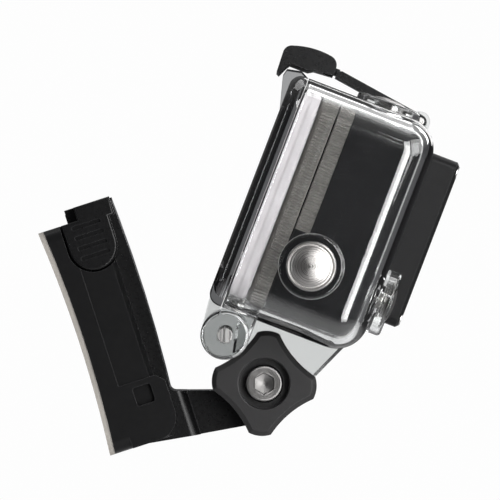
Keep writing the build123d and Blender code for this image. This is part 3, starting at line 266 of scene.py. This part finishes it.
def turned(name, colour, roughness, rings=9000, relief=5e-6):
    """Metal turned on a lathe: fine rings about the piece's own Z axis, and a fan-shaped gloss."""
    material, tree = base_tree(name)
    where = node(tree, "TexCoord").outputs["Object"]
    flat = node(tree, "VectorMath", {0: where, 1: (1, 1, 0)}, operation="MULTIPLY").outputs[0]
    radius = node(tree, "VectorMath", {0: flat}, operation="LENGTH").outputs["Value"]
    ring = node(tree, "TexNoise", {"W": radius, "Scale": rings, "Detail": 3.0},
                noise_dimensions="1D").outputs["Fac"]
    shade = blend_colours(tree, remap(tree, ring, 0.3, 0.7, 0.0, 1.0), scaled(colour, 0.78),
                          scaled(colour, 1.1))
    shade = blend_colours(tree, remap(tree, noise_at(tree, 700, 4.0), 0.62, 0.72, 0.0, 0.5), shade,
                          scaled(colour, 0.6))
    rough = remap(tree, ring, 0.3, 0.7, roughness - 0.06, roughness + 0.08)
    bump = node(tree, "Bump", {"Height": ring, "Strength": 1.0, "Distance": relief})
    tangent = node(tree, "Tangent", direction_type="RADIAL", axis="Z")
    shader = node(tree, "BsdfPrincipled", {
        "Base Color": shade, "Metallic": 1.0, "Roughness": rough, "Normal": bump.outputs[0],
        "Tangent": tangent.outputs[0], "Anisotropic": 0.85})
    node(tree, "OutputMaterial", {"Surface": shader.outputs[0]})
    return material


def clear(name, tint, ior, roughness, film=0.0, density=0.0):
    """Clear plastic or glass with faint smears, and painted shade: grey where it is thick. Lamps shine through it.
    """
    material, tree = base_tree(name)
    smear = noise_at(tree, 260, 4.0, (1, 0.4, 1))
    rough = remap(tree, smear, 0.45, 0.75, roughness, roughness + 0.05)
    sockets = {"Base Color": rgba(tint), "Roughness": rough, "IOR": ior, "Transmission Weight": 1.0}
    if film:
        sockets["Thin Film Thickness"] = film
        sockets["Thin Film IOR"] = 1.38
    glass = node(tree, "BsdfPrincipled", sockets)
    through = node(tree, "BsdfTransparent", {"Color": rgba(scaled(tint, 0.9))})
    shadow = node(tree, "LightPath").outputs["Is Shadow Ray"]
    mixed = node(tree, "MixShader", {0: shadow, 1: glass.outputs[0], 2: through.outputs[0]})
    output = node(tree, "OutputMaterial", {"Surface": mixed.outputs[0]})
    if density:
        # painted shade: the grey absorption darkens thick plastic in place of the dark surroundings seen through
        # it
        inside = node(tree, "VolumeAbsorption", {"Color": rgba(THICK_PAINTED_SHADE_TINT), "Density": density})
        tree.links.new(inside.outputs[0], output.inputs["Volume"])
    return material


def circuit_board(name):
    """Green solder mask with fine copper tracks showing through it as a paler pattern."""
    material, tree = base_tree(name)
    where = node(tree, "TexCoord").outputs["Object"]
    tracks = node(tree, "TexBrick", {
        "Vector": where, "Scale": 700.0, "Mortar Size": 0.03, "Color1": (0.012, 0.075, 0.03, 1),
        "Color2": (0.014, 0.09, 0.036, 1), "Mortar": (0.05, 0.2, 0.08, 1)})
    bump = node(tree, "Bump", {"Height": tracks.outputs["Fac"], "Distance": 15e-6}, invert=True)
    shader = node(tree, "BsdfPrincipled", {
        "Base Color": tracks.outputs["Color"], "Normal": bump.outputs[0],
        "Roughness": remap(tree, noise_at(tree, 900), 0.3, 0.7, 0.22, 0.36)})
    node(tree, "OutputMaterial", {"Surface": shader.outputs[0]})
    return material


MATERIALS = {
    "foam_tape": moulded("foam", (0.26, 0.245, 0.225), 0.9, 2600, 60e-6, specular=0.2),
    "base_plastic": moulded("base plastic", (0.0035, 0.0035, 0.0037), 0.32, 4200, 8e-6,
                            (0.03, 0.03, 0.031), 0.15),
    "buckle_plastic": moulded("buckle plastic", (0.003, 0.003, 0.0032), 0.28, 5000, 6e-6,
                              (0.025, 0.025, 0.026), 0.2),
    "knob_plastic": moulded("knob plastic", (0.013, 0.0126, 0.013), 0.4, 3800, 14e-6,
                            (0.07, 0.068, 0.07), 0.25),
    "steel": metal("steel", (0.56, 0.55, 0.54), 0.28, (1, 1, 0.05)),
    "clear_plastic": clear("clear polycarbonate", (0.95, 0.96, 0.955), 1.585, 0.015, density=115.0),
    "bezel_plastic": moulded("bezel plastic", (0.006, 0.006, 0.0063), 0.34, 4600, 10e-6,
                             (0.035, 0.035, 0.035), 0.15),
    "latch_plastic": moulded("latch plastic", (0.005, 0.005, 0.0053), 0.28, 5000, 6e-6,
                             (0.035, 0.035, 0.035), 0.3),
    "silicone": moulded("white silicone", (0.43, 0.405, 0.42), 0.5, 3000, 8e-6, specular=0.3),
    "black_rubber": moulded("black rubber", (0.02, 0.02, 0.02), 0.6, 3000, 10e-6),
    "clear_glass": clear("coated glass", (0.98, 0.99, 0.985), 1.5, 0.0, film=420.0),
    "camera_black": moulded("camera black", (0.0045, 0.0045, 0.0049), 0.22, 5200, 4e-6,
                            (0.03, 0.03, 0.031), 0.25),
    "camera_silver": metal("silver paint", (0.15, 0.142, 0.134), 0.45, scale=6000, relief=6e-6,
                           worn=(0.36, 0.34, 0.33)),
    "button_silver": metal("button aluminium", (0.55, 0.54, 0.53), 0.32),
    "lens_black": metal("anodised black", (0.03, 0.03, 0.034), 0.34, scale=5000),
    "circuit_green": circuit_board("solder mask"),
    "chip_black": moulded("chip package", (0.02, 0.02, 0.02), 0.55, 6000, 10e-6),
    "heat_aluminium": metal("heat spreader aluminium", (0.7, 0.7, 0.71), 0.3, (1, 0.05, 1)),
    "port_metal": metal("plated steel", (0.66, 0.65, 0.62), 0.25),
    "battery_wrap": moulded("battery wrap", (0.06, 0.06, 0.065), 0.35, 1500, 20e-6),
    "display_black": moulded("display", (0.014, 0.018, 0.014), 0.12, 9000, 2e-6),
    "light_red": moulded("red light cover", (0.3, 0.01, 0.008), 0.2, 3000, 4e-6),
}
TURNED_STEEL = turned("turned steel", (0.19, 0.186, 0.182), 0.42)
SPUN_STEEL = turned("spun steel", (0.33, 0.32, 0.31), 0.27)
TURNED_RING = turned("turned lens ring", (0.3, 0.29, 0.28), 0.32)
ANODISED = turned("anodised barrel", (0.03, 0.03, 0.034), 0.3)

for subpart in frame["record"]["subparts"]:
    mesh = frame["nodes"][subpart["node"]].data
    mesh.materials.clear()
    mesh.materials.append(MATERIALS[subpart["material_slot"]])

# --- tools for pieces in mesh code ----------------------------------------------------------------


def skin(name, rows, closed=False, sharp=30.0):
    """A mesh through rows of points, each a closed loop. The rows close on themselves or are capped."""
    build = bmesh.new()
    grid = [[build.verts.new(point) for point in row] for row in rows]
    pairs = list(zip(grid, grid[1:] + grid[:1])) if closed else list(zip(grid, grid[1:]))
    for first, second in pairs:
        for here in range(len(first)):
            there = (here + 1) % len(first)
            build.faces.new((first[here], first[there], second[there], second[here]))
    if not closed:
        build.faces.new(grid[0][::-1])
        build.faces.new(grid[-1])
    bmesh.ops.remove_doubles(build, verts=build.verts, dist=1e-7)
    bmesh.ops.recalc_face_normals(build, faces=build.faces)
    for face in build.faces:
        face.smooth = True
    mesh = bpy.data.meshes.new(name)
    build.to_mesh(mesh)
    build.free()
    mesh.set_sharp_from_angle(angle=radians(sharp))
    return mesh


def add_piece(mesh, body, slot, stands_for=(), matrix=None, material=None):
    """Show a mesh that rides on a body and stands for the named CAD nodes."""
    piece = bpy.data.objects.new(mesh.name, mesh)
    if matrix is not None:
        piece.matrix_world = matrix
    scene.collection.objects.link(piece)
    mesh.materials.append(material or MATERIALS[slot])
    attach(piece, body)
    if stands_for:
        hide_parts(*stands_for)
    return piece


def ring_row(radius, height, count=96, shape=None):
    """A loop of points about the local Z axis, in metres. shape(angle) scales the radius."""
    row = []
    for step in range(count):
        angle = tau * step / count
        reach = radius * (shape(angle) if shape else 1.0) * MM
        row.append((reach * cos(angle), reach * sin(angle), height * MM))
    return row


def hexagon(angle):
    """A hexagon's reach at an angle, where 1 is the distance to its flats."""
    return 1 / cos((angle % (tau / 6)) - tau / 12)


def lathe(name, profile, count=96, sharp=30.0, closed=False):
    """A turned mesh from (radius, height) points in millimetres, along the local Z axis."""
    return skin(name, [ring_row(radius, height, count) for radius, height in profile], closed, sharp)


def round_section(radius, height, section, count):
    """Points round a wire's section, at this radius and height."""
    angles = [tau * step / count for step in range(count)]
    return [(radius + section * cos(angle), height + section * sin(angle)) for angle in angles]


def on_axis(frame_of, origin, along):
    """The matrix that puts a turned piece's local Z along a direction, from an origin in millimetres."""
    z_axis = (frame_of.to_3x3() @ Vector(along)).normalized()
    side = Vector((0, 1, 0)) if abs(z_axis.y) < 0.9 else Vector((1, 0, 0))
    x_axis = side.cross(z_axis).normalized()
    return frame_matrix(x_axis, z_axis, place(frame_of, *origin))


def outline(half, low, high, corner, step):
    """Points and outward directions round a rectangle with round corners, (Y, Z) in millimetres.

    It starts at the lower right, as the lens looks, and runs along the bottom first."""
    stations = []
    corners = [(half - corner, low + corner, -pi / 2), (half - corner, high - corner, 0.0),
               (-half + corner, high - corner, pi / 2), (-half + corner, low + corner, pi)]
    start = Vector((-half + corner, low))
    for centre_y, centre_z, angle in corners:
        normal = Vector((cos(angle), sin(angle)))
        end = Vector((centre_y, centre_z)) + normal * corner
        count = max(1, round((end - start).length / step))
        stations += [(start.lerp(end, i / count), normal) for i in range(count)]
        count = max(1, round(corner * pi / 2 / step))
        for i in range(count):
            turn = angle + pi / 2 * i / count
            around = Vector((cos(turn), sin(turn)))
            stations.append((Vector((centre_y, centre_z)) + around * corner, around))
        last = Vector((cos(angle + pi / 2), sin(angle + pi / 2)))
        start = Vector((centre_y, centre_z)) + last * corner
    return stations


def band_rows(stations, profile_at):
    """Rows for a band round an outline: profile_at(index) gives (X, outward offset) points."""
    rows = []
    for index, (point, normal) in enumerate(stations):
        row = []
        for x, offset in profile_at(index):
            at = point + normal * offset
            row.append(place(CAMERA, x, at.x, at.y))
        rows.append(row)
    return rows


# --- adhesive foam --------------------------------------------------------------------------------

PAD_WIDTH = 36.0
PAD_LENGTH = 44.4
PAD_CORNER = 2.5
PAD_THICKNESS = 1.0
SURFACE_RADIUS = 230.0
PAD_LAYERS = (0.0, 0.06, 0.14, 0.3, 0.5, 0.7, 0.86, 0.94, 1.0)  # of the thickness, from rear to front
PAD_ROWS = 120
PAD_COLUMNS = 12  # in half its width
FOAM_SPAN = (0.1, 0.9)  # the layers between the two films of adhesive
FOAM_INSET = 0.10  # how far the cut foam draws back between the films
FOAM_CELLS = 0.07  # how far the cut cells stand in or out


def pad_point(y, z, layer):
    across = SURFACE_RADIUS + PAD_THICKNESS * layer
    return place(MOUNT, (across * across - z * z) ** 0.5 - SURFACE_RADIUS, y, z)


def foam_edge(z, side, layer):
    """How far the foam's cut edge draws back at a height along the pad."""
    if not FOAM_SPAN[0] < layer < FOAM_SPAN[1]:
        return 0.0
    cells = noise.noise(Vector((z * 3.1, side * 7.0, layer * 4.0)))
    return FOAM_INSET + FOAM_CELLS * cells


def pad_row(z):
    half = PAD_WIDTH / 2
    past = max(0.0, abs(z) - (PAD_LENGTH / 2 - PAD_CORNER))
    half -= PAD_CORNER - max(0.0, PAD_CORNER ** 2 - past ** 2) ** 0.5
    across = [column / PAD_COLUMNS - 1 for column in range(1, 2 * PAD_COLUMNS)]
    row = [pad_point(half * share, z, 1.0) for share in across]
    row += [pad_point(half - foam_edge(z, 1, layer), z, layer) for layer in reversed(PAD_LAYERS)]
    row += [pad_point(half * share, z, 0.0) for share in reversed(across)]
    row += [pad_point(-half + foam_edge(z, -1, layer), z, layer) for layer in PAD_LAYERS]
    return row


def add_foam():
    """The pad, with its rows closest together at the rounded ends."""
    heights = [PAD_LENGTH / 2 * sin(pi / 2 * (2 * i / PAD_ROWS - 1)) for i in range(PAD_ROWS + 1)]
    mesh = skin("adhesive_foam", [pad_row(z) for z in heights], sharp=40.0)
    add_piece(mesh, "mount", "foam_tape", ["adhesive_pad"])


add_foam()

# --- thumbscrew's bolt ----------------------------------------------------------------------------

BOLT_SEAT = 14.0  # height of the head's seat, away from the camera's left
BOLT_RADIUS = 2.45
BOLT_END = -11.8
BOLT_END_SHARE = 0.7  # of the shaft's radius, at its pointed end
SHAFT_POINTS = 48
THREAD_TO = -2.5
THREAD_DEPTH = 0.13  # of the shaft's radius
THREAD_LEAD = 0.3  # plain length before the thread starts
THREAD_RUNOUT = 0.4
PITCH = 0.8
ROWS_PER_TURN = 10
HEAD_RADIUS = 3.65
HEAD_HEIGHT = 2.4
HEAD_POINTS = 240
HEAD_CHAMFER = 0.25
HEAD_ROUND = 0.43  # radius of the head's upper edge
HEAD_ROUND_STEPS = 5
COLLAR = 0.12  # how far the plain collar above the knurls stands in
KNURLS = 40
KNURL_DEPTH = 0.018  # of the head's radius
KNURL_TOP = 0.75  # the knurls end this far under the head's top
FACE_SINK = 0.02  # the face lies this far under the head's box in the CAD
MARKS = 4  # turning marks on the face
MARK_INSET = 0.75
MARK_STEP = 0.2
MARK_WIDTH = 0.12
MARK_DEPTH = 0.04
SOCKET = 1.75  # half the distance across the socket's flats
SOCKET_CHAMFER = 0.12
SOCKET_DEPTH = 1.2
DRILL_RADIUS = 0.5
DRILL_DEPTH = 0.15  # of each half of the drill's cone under the socket


def knurl(angle):
    return 1 - KNURL_DEPTH * abs(sin(angle * KNURLS / 2))


def thread_row(height):
    def depth(angle):
        phase = (height / PITCH - angle / tau) % 1.0
        return 1 - THREAD_DEPTH * abs(2 * phase - 1)
    return ring_row(BOLT_RADIUS, height, SHAFT_POINTS, depth)


def bolt_shaft_mesh():
    rows = [ring_row(BOLT_RADIUS * BOLT_END_SHARE, BOLT_END, SHAFT_POINTS)]
    steps = round((THREAD_TO - BOLT_END) / PITCH * ROWS_PER_TURN) - round(THREAD_LEAD / PITCH * ROWS_PER_TURN)
    rows += [thread_row(BOLT_END + THREAD_LEAD + PITCH * i / ROWS_PER_TURN) for i in range(steps)]
    rows.append(ring_row(BOLT_RADIUS, THREAD_TO + THREAD_RUNOUT, SHAFT_POINTS))
    rows.append(ring_row(BOLT_RADIUS, BOLT_SEAT, SHAFT_POINTS))
    return skin("bolt_shaft", rows, sharp=50.0)


def bolt_head_mesh():
    top = BOLT_SEAT + HEAD_HEIGHT
    face = top - FACE_SINK
    profile = [(BOLT_RADIUS, BOLT_SEAT, None), (HEAD_RADIUS - HEAD_CHAMFER, BOLT_SEAT, None),
               (HEAD_RADIUS, BOLT_SEAT + HEAD_CHAMFER, knurl), (HEAD_RADIUS, top - KNURL_TOP, knurl)]
    for i in range(HEAD_ROUND_STEPS + 1):
        angle = pi / 2 * i / HEAD_ROUND_STEPS
        inward = COLLAR + HEAD_ROUND * (1 - cos(angle))
        profile.append((HEAD_RADIUS - inward, face - HEAD_ROUND * (1 - sin(angle)), None))
    for mark in range(MARKS):
        at = HEAD_RADIUS - MARK_INSET - mark * MARK_STEP
        profile += [(at, face, None), (at - MARK_WIDTH / 2, face - MARK_DEPTH, None),
                    (at - MARK_WIDTH, face, None)]
    bottom = top - SOCKET_DEPTH
    profile += [(SOCKET + SOCKET_CHAMFER, face, hexagon), (SOCKET, face - SOCKET_CHAMFER, hexagon),
                (SOCKET, bottom, hexagon), (DRILL_RADIUS, bottom - DRILL_DEPTH, None),
                (0.0, bottom - 2 * DRILL_DEPTH, None)]
    rows = [ring_row(radius, height, HEAD_POINTS, shape) for radius, height, shape in profile]
    return skin("bolt_head", rows, sharp=32.0)


def add_bolt():
    bolt_axis = on_axis(CAMERA, (0, 0, 0), (0, -1, 0))
    add_piece(bolt_head_mesh(), "thumbscrew", "steel", ["thumb_bolt"], bolt_axis, TURNED_STEEL)
    add_piece(bolt_shaft_mesh(), "thumbscrew", "steel", [], bolt_axis, TURNED_STEEL)


add_bolt()

# --- plungers, their springs and rings ------------------------------------------------------------

# Each button: the middle of its outer wall, the way out, the wall's thickness, the spring seat's
# height over the wall, and the boss's height.
BUTTONS = {
    "side": ((0.2, -33.2, 24.0), (0, -1, 0), 2.3, 0.6, 2.8),
    "shutter": ((3.2, -20.0, 57.0), (0, 0, 1), 2.1, -0.6, 1.4),
    "mode": ((14.3, -19.0, 22.5), (1, 0, 0), 2.1, 0.6, 2.8),
}
STEM = 1.5
STEM_CHAMFER = 0.2
STEM_REACH = 0.65  # how far the stem comes through the wall
CAP = 4.75
CAP_EDGE = 0.25
CAP_PROUD = 0.6  # how far the cap's middle stands out of its boss
CAP_GAP = 0.1  # from a cap pressed all the way in to its seat
CROWN = 0.8  # height of the cap's shallow dome
DOME_INSET = 0.75  # the dome's edge lies this far inside the cap's side
SPUN_RINGS = 9
SPUN_DEPTH = 0.012
SMALLEST_RING = 0.1
WIRE = 0.14
WIRE_POINTS = 10
COILS = 3.25
COIL_STEPS = 40
COIL_RADIUS = 3.06  # of the turn on the seat
COIL_TAPER = 0.42  # how much smaller the turn under the cap is
CLOSED_TURNS = 0.6  # lying flat at each end
O_RING_RADIUS = 1.725
O_RING_SECTION = 0.225
O_RING_SINK = 0.825  # its middle, below the spring's seat


def plunger_profile(stem_end, cap_low, top):
    rim = top - CROWN
    profile = [(0.0, stem_end), (STEM - STEM_CHAMFER, stem_end), (STEM, stem_end + STEM_CHAMFER),
               (STEM, cap_low), (CAP - CAP_EDGE, cap_low), (CAP, cap_low + CAP_EDGE)]
    # a rolled rim and the groove inside it: (inset from the side, height over the rim)
    for inset, rise in ((0.0, -0.3), (0.12, -0.08), (0.35, 0.0), (0.5, -0.09), (0.62, 0.02)):
        profile.append((CAP - inset, rim + rise))
    edge = CAP - DOME_INSET
    for ring in range(SPUN_RINGS):
        share = 1 - ring / SPUN_RINGS
        for inward, sink in ((0.0, 0.0), (0.14, 0.0), (0.22, SPUN_DEPTH), (0.3, 0.0)):
            radius = edge * share - inward
            if radius > SMALLEST_RING:
                profile.append((radius, top - CROWN * (radius / edge) ** 2 - sink))
    profile.append((0.0, top))
    return profile


def spring_mesh(name, low, high):
    """A cone of wire between two heights, with its first and last turn lying flat."""
    rows = []
    steps = round(COILS * COIL_STEPS)
    for i in range(steps + 1):
        share = i / steps
        angle = tau * COILS * share
        rise = min(1.0, max(0.0, (share * COILS - CLOSED_TURNS) / (COILS - 2 * CLOSED_TURNS)))
        radius = COIL_RADIUS - COIL_TAPER * rise
        height = low + WIRE + (high - low - 2 * WIRE) * rise
        row = [Vector((reach * cos(angle), reach * sin(angle), level)) * MM
               for reach, level in round_section(radius, height, WIRE, WIRE_POINTS)]
        rows.append(row)
    return skin(name, rows, sharp=60.0)


def add_plunger(name, origin, out, wall, seat, height):
    """A button's spun cap and stem, the spring under the cap and the ring that seals the stem."""
    travel = joints[f"{name}_press"]["range_m"][1] / MM
    cap_low = seat + travel + CAP_GAP
    axis = on_axis(CAMERA, origin, out)
    profile = plunger_profile(-wall - STEM_REACH, cap_low, height + CAP_PROUD)
    add_piece(lathe(f"{name}_button_spun", profile, 128, 40.0), f"{name}_plunger", "steel",
              [f"{name}_plunger"], axis, SPUN_STEEL)
    spring = add_piece(spring_mesh(f"{name}_spring_wire", seat, cap_low), "housing", "steel",
                       [f"{name}_plunger_spring"], axis)
    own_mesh(spring)
    section = round_section(O_RING_RADIUS, seat - O_RING_SINK, O_RING_SECTION, 20)
    ring = lathe(f"{name}_o_ring", section, 64, 60.0, closed=True)
    add_piece(ring, f"{name}_plunger", "black_rubber", [f"{name}_plunger_seal"], axis)


for name, places in BUTTONS.items():
    add_plunger(name, *places)

# --- door seal ------------------------------------------------------------------------------------

SEAL_HALF = 30.7
SEAL_LOW = 13.6
SEAL_HIGH = 54.7
SEAL_CORNER = 4.6
SEAL_DEPTH = 1.7
SEAL_REAR = -12.95
SEAL_FRONT = -9.2
SEAL_STEP = 0.6  # between the band's rows
# across the band, (X from its rear edge, how far it is drawn in): two round beads with a groove between
SEAL_PROFILE = [(0.0, SEAL_DEPTH), (0.0, 0.25), (0.12, 0.08), (0.35, 0.0), (1.05, 0.0), (1.25, 0.06),
                (1.4, 0.2), (1.9, 0.2), (2.05, 0.06), (2.25, 0.0), (3.0, 0.0), (3.3, 0.08), (3.6, 0.35),
                (SEAL_FRONT - SEAL_REAR, 0.7), (SEAL_FRONT - SEAL_REAR, SEAL_DEPTH)]


def add_seal():
    stations = outline(SEAL_HALF, SEAL_LOW, SEAL_HIGH, SEAL_CORNER, SEAL_STEP)
    rows = band_rows(stations, lambda index: [(SEAL_REAR + x, -inset) for x, inset in SEAL_PROFILE])
    add_piece(skin("seal_band", rows, closed=True, sharp=50.0), "door", "silicone", ["door_seal"])


add_seal()

# --- ribbed grip strips round the camera ----------------------------------------------------------

CAMERA_HALF = 29.75
CAMERA_LOW = 13.4
CAMERA_HIGH = 54.5
CAMERA_CORNER = 4.0
RIB_STEP = 0.14  # a rib is four of these: up, along, down, along
RIB_DEPTH = 0.13
RIB_END = 0.15  # the ribs slope off over this much at a strip's two edges
STRIP_EDGE = 0.2  # height of a strip's plain edges, down from its lift
BAND_X = (-5.2, -2.2)
BAND_DEPTH = 1.2
BAND_FROM_Y = -25.7
BAND_TO_Z = 29.5
REAR_STRIP_X = (-8.35, -5.6)
REAR_STRIP_DEPTH = 0.1
REAR_STRIP_LIFT = 0.12


def ribbed_profile(span, depth, lift):
    low, high = span

    def at(index):
        top = lift - (RIB_DEPTH if index % 4 in (2, 3) else 0.0)
        edge = lift - STRIP_EDGE
        return [(low, -depth), (low, edge), (low + RIB_END, top), (high - RIB_END, top), (high, edge),
                (high, -depth)]
    return at


def add_grip_strips():
    """The band between the camera's halves, open past the side button, and the rear half's strip."""
    stations = outline(CAMERA_HALF, CAMERA_LOW, CAMERA_HIGH, CAMERA_CORNER, RIB_STEP)
    kept = [station for station in stations
            if not (station[0].x < BAND_FROM_Y and station[0].y < BAND_TO_Z)]
    rows = band_rows(kept, ribbed_profile(BAND_X, BAND_DEPTH, 0.0))
    add_piece(skin("ribbed_band", rows, sharp=25.0), "housing", "camera_silver", ["camera_band"])
    whole_ribs = len(stations) // 4 * 4
    rows = band_rows(stations[:whole_ribs], ribbed_profile(REAR_STRIP_X, REAR_STRIP_DEPTH, REAR_STRIP_LIFT))
    add_piece(skin("rear_grip_strip", rows, closed=True, sharp=25.0), "housing", "camera_silver")


add_grip_strips()

# --- lens -----------------------------------------------------------------------------------------

LENS_AT = (13.7, 35.8)  # Y and Z of its axis
RING_INNER = 8.7
RING_OUTER = 10.8
RING_REAR = 12.0
RING_FRONT = 16.2
RING_POINTS = 360
TEETH = 90
TOOTH_DEPTH = 0.012  # of the ring's radius
GROOVES = 3
GROOVE_FROM = 9.95
GROOVE_STEP = 0.28
GROOVE_WIDTH = 0.14
GROOVE_DEPTH = 0.1
BARREL_REAR = 0.5
BARREL_FRONT = 16.6
BARREL_OUTER = 8.65
BARREL_BORE = 6.4
BARREL_POCKET = 7.6  # radius of the pocket that the front element sits in
POCKET_FLOOR = 14.4
BAFFLES = 5
BAFFLE_FROM = 14.2
BAFFLE_STEP = 0.48
BAFFLE_RADIUS = 6.85
BAFFLES_END = 11.7


def ring_teeth(angle):
    return 1 - TOOTH_DEPTH * abs(sin(angle * TEETH / 2))


def lens_ring_mesh():
    profile = [(RING_INNER, RING_REAR, None), (RING_OUTER - 0.2, RING_REAR, None),
               (RING_OUTER, RING_REAR + 0.2, ring_teeth), (RING_OUTER, RING_FRONT - 0.9, ring_teeth),
               (RING_OUTER - 0.18, RING_FRONT - 0.7, None), (RING_OUTER - 0.5, RING_FRONT - 0.2, None),
               (RING_OUTER - 0.7, RING_FRONT, None)]
    for groove in range(GROOVES):
        at = GROOVE_FROM - groove * GROOVE_STEP
        profile += [(at, RING_FRONT, None), (at - GROOVE_WIDTH / 2, RING_FRONT - GROOVE_DEPTH, None),
                    (at - GROOVE_WIDTH, RING_FRONT, None)]
    profile += [(RING_INNER + 0.25, RING_FRONT, None), (RING_INNER, RING_FRONT - 0.25, None)]
    rows = [ring_row(radius, height, RING_POINTS, shape) for radius, height, shape in profile]
    return skin("lens_ring_knurled", rows, closed=True, sharp=30.0)


def barrel_profile():
    """The barrel's section: chamfered ends, the front element's pocket and the baffles behind it."""
    profile = [(BARREL_BORE, BARREL_REAR), (BARREL_OUTER - 0.15, BARREL_REAR),
               (BARREL_OUTER, BARREL_REAR + 0.15), (BARREL_OUTER, BARREL_FRONT - 0.35),
               (BARREL_OUTER - 0.35, BARREL_FRONT), (BARREL_POCKET + 0.2, BARREL_FRONT),
               (BARREL_POCKET, BARREL_FRONT - 0.2), (BARREL_POCKET, POCKET_FLOOR)]
    for baffle in range(BAFFLES):
        at = BAFFLE_FROM - baffle * BAFFLE_STEP
        profile += [(BARREL_BORE + 0.05, at), (BARREL_BORE, at - 0.1), (BAFFLE_RADIUS, at - 0.14),
                    (BAFFLE_RADIUS, at - 0.44)]
    profile.append((BARREL_BORE, BAFFLES_END))
    return profile


def add_lens():
    lens_axis = on_axis(CAMERA, (0, *LENS_AT), (1, 0, 0))
    add_piece(lens_ring_mesh(), "housing", "camera_silver", ["lens_ring"], lens_axis, TURNED_RING)
    barrel = lathe("lens_barrel_baffled", barrel_profile(), 160, 30.0, closed=True)
    add_piece(barrel, "housing", "lens_black", ["lens_barrel"], lens_axis, ANODISED)


add_lens()

# --- eased edges on the moulded and machined CAD pieces --------------------------------------------

EASED = {
    "mount_base": 0.22, "hook_arm": 0.3, "release_tab_left": 0.1, "release_tab_right": 0.1,
    "thumb_knob": 0.35, "latch_arm": 0.15, "latch_hook": 0.15, "lens_bezel": 0.15, "clevis_nut": 0.2,
    "side_port_door": 0.08, "battery_door": 0.08, "latch_arm_pin": 0.15, "latch_hook_pin": 0.12,
    "door_hinge_pins": 0.2, "lens_bezel_screws": 0.06, "case_screws": 0.06,
    "housing_shell": 0.25, "back_door": 0.25,
}


def ease_edges(name, width):
    """Round a CAD piece's sharp edges with modifiers, which leave its mesh as it is."""
    piece = frame["nodes"][name]
    with bpy.context.temp_override(object=piece, active_object=piece, selected_objects=[piece]):
        bpy.ops.mesh.customdata_custom_splitnormals_clear()
    for face in piece.data.polygons:
        face.use_smooth = True
    weld = piece.modifiers.new("weld", "WELD")
    weld.merge_threshold = 1e-6
    flat = piece.modifiers.new("flat", "DECIMATE")
    flat.decimate_type = "DISSOLVE"
    flat.angle_limit = radians(1.0)
    bevel = piece.modifiers.new("bevel", "BEVEL")
    bevel.width = width * MM
    bevel.segments = 2
    bevel.limit_method = "ANGLE"
    bevel.angle_limit = radians(35)
    bevel.miter_outer = "MITER_ARC"
    piece.modifiers.new("shading", "WEIGHTED_NORMAL")


for name, width in EASED.items():
    ease_edges(name, width)

# --- floor ----------------------------------------------------------------------------------------

FLOOR_DROP = 0.08  # the object is held up by its mount, so the floor is this far below it
FLOOR_RADIUS = 0.36
FLOOR_FADE = (0.3, 0.95)  # it fades out between these shares of its radius


def add_floor():
    disc = bmesh.new()
    bmesh.ops.create_circle(disc, cap_ends=True, segments=96, radius=FLOOR_RADIUS)
    mesh = bpy.data.meshes.new("floor")
    disc.to_mesh(mesh)
    disc.free()
    floor = bpy.data.objects.new("floor", mesh)
    floor.location = (middle.x, middle.y, cad_low.z - FLOOR_DROP)
    scene.collection.objects.link(floor)
    material, tree = base_tree("floor")
    distance = node(tree, "VectorMath", {0: node(tree, "TexCoord").outputs["Object"]},
                    operation="LENGTH").outputs["Value"]
    fade_from, fade_to = (FLOOR_RADIUS * share for share in FLOOR_FADE)
    shader = node(tree, "BsdfPrincipled", {
        "Base Color": (0.74, 0.74, 0.745, 1), "Roughness": 0.8,
        "Alpha": remap(tree, distance, fade_from, fade_to, 1.0, 0.0)})
    node(tree, "OutputMaterial", {"Surface": shader.outputs[0]})
    mesh.materials.append(material)


add_floor()
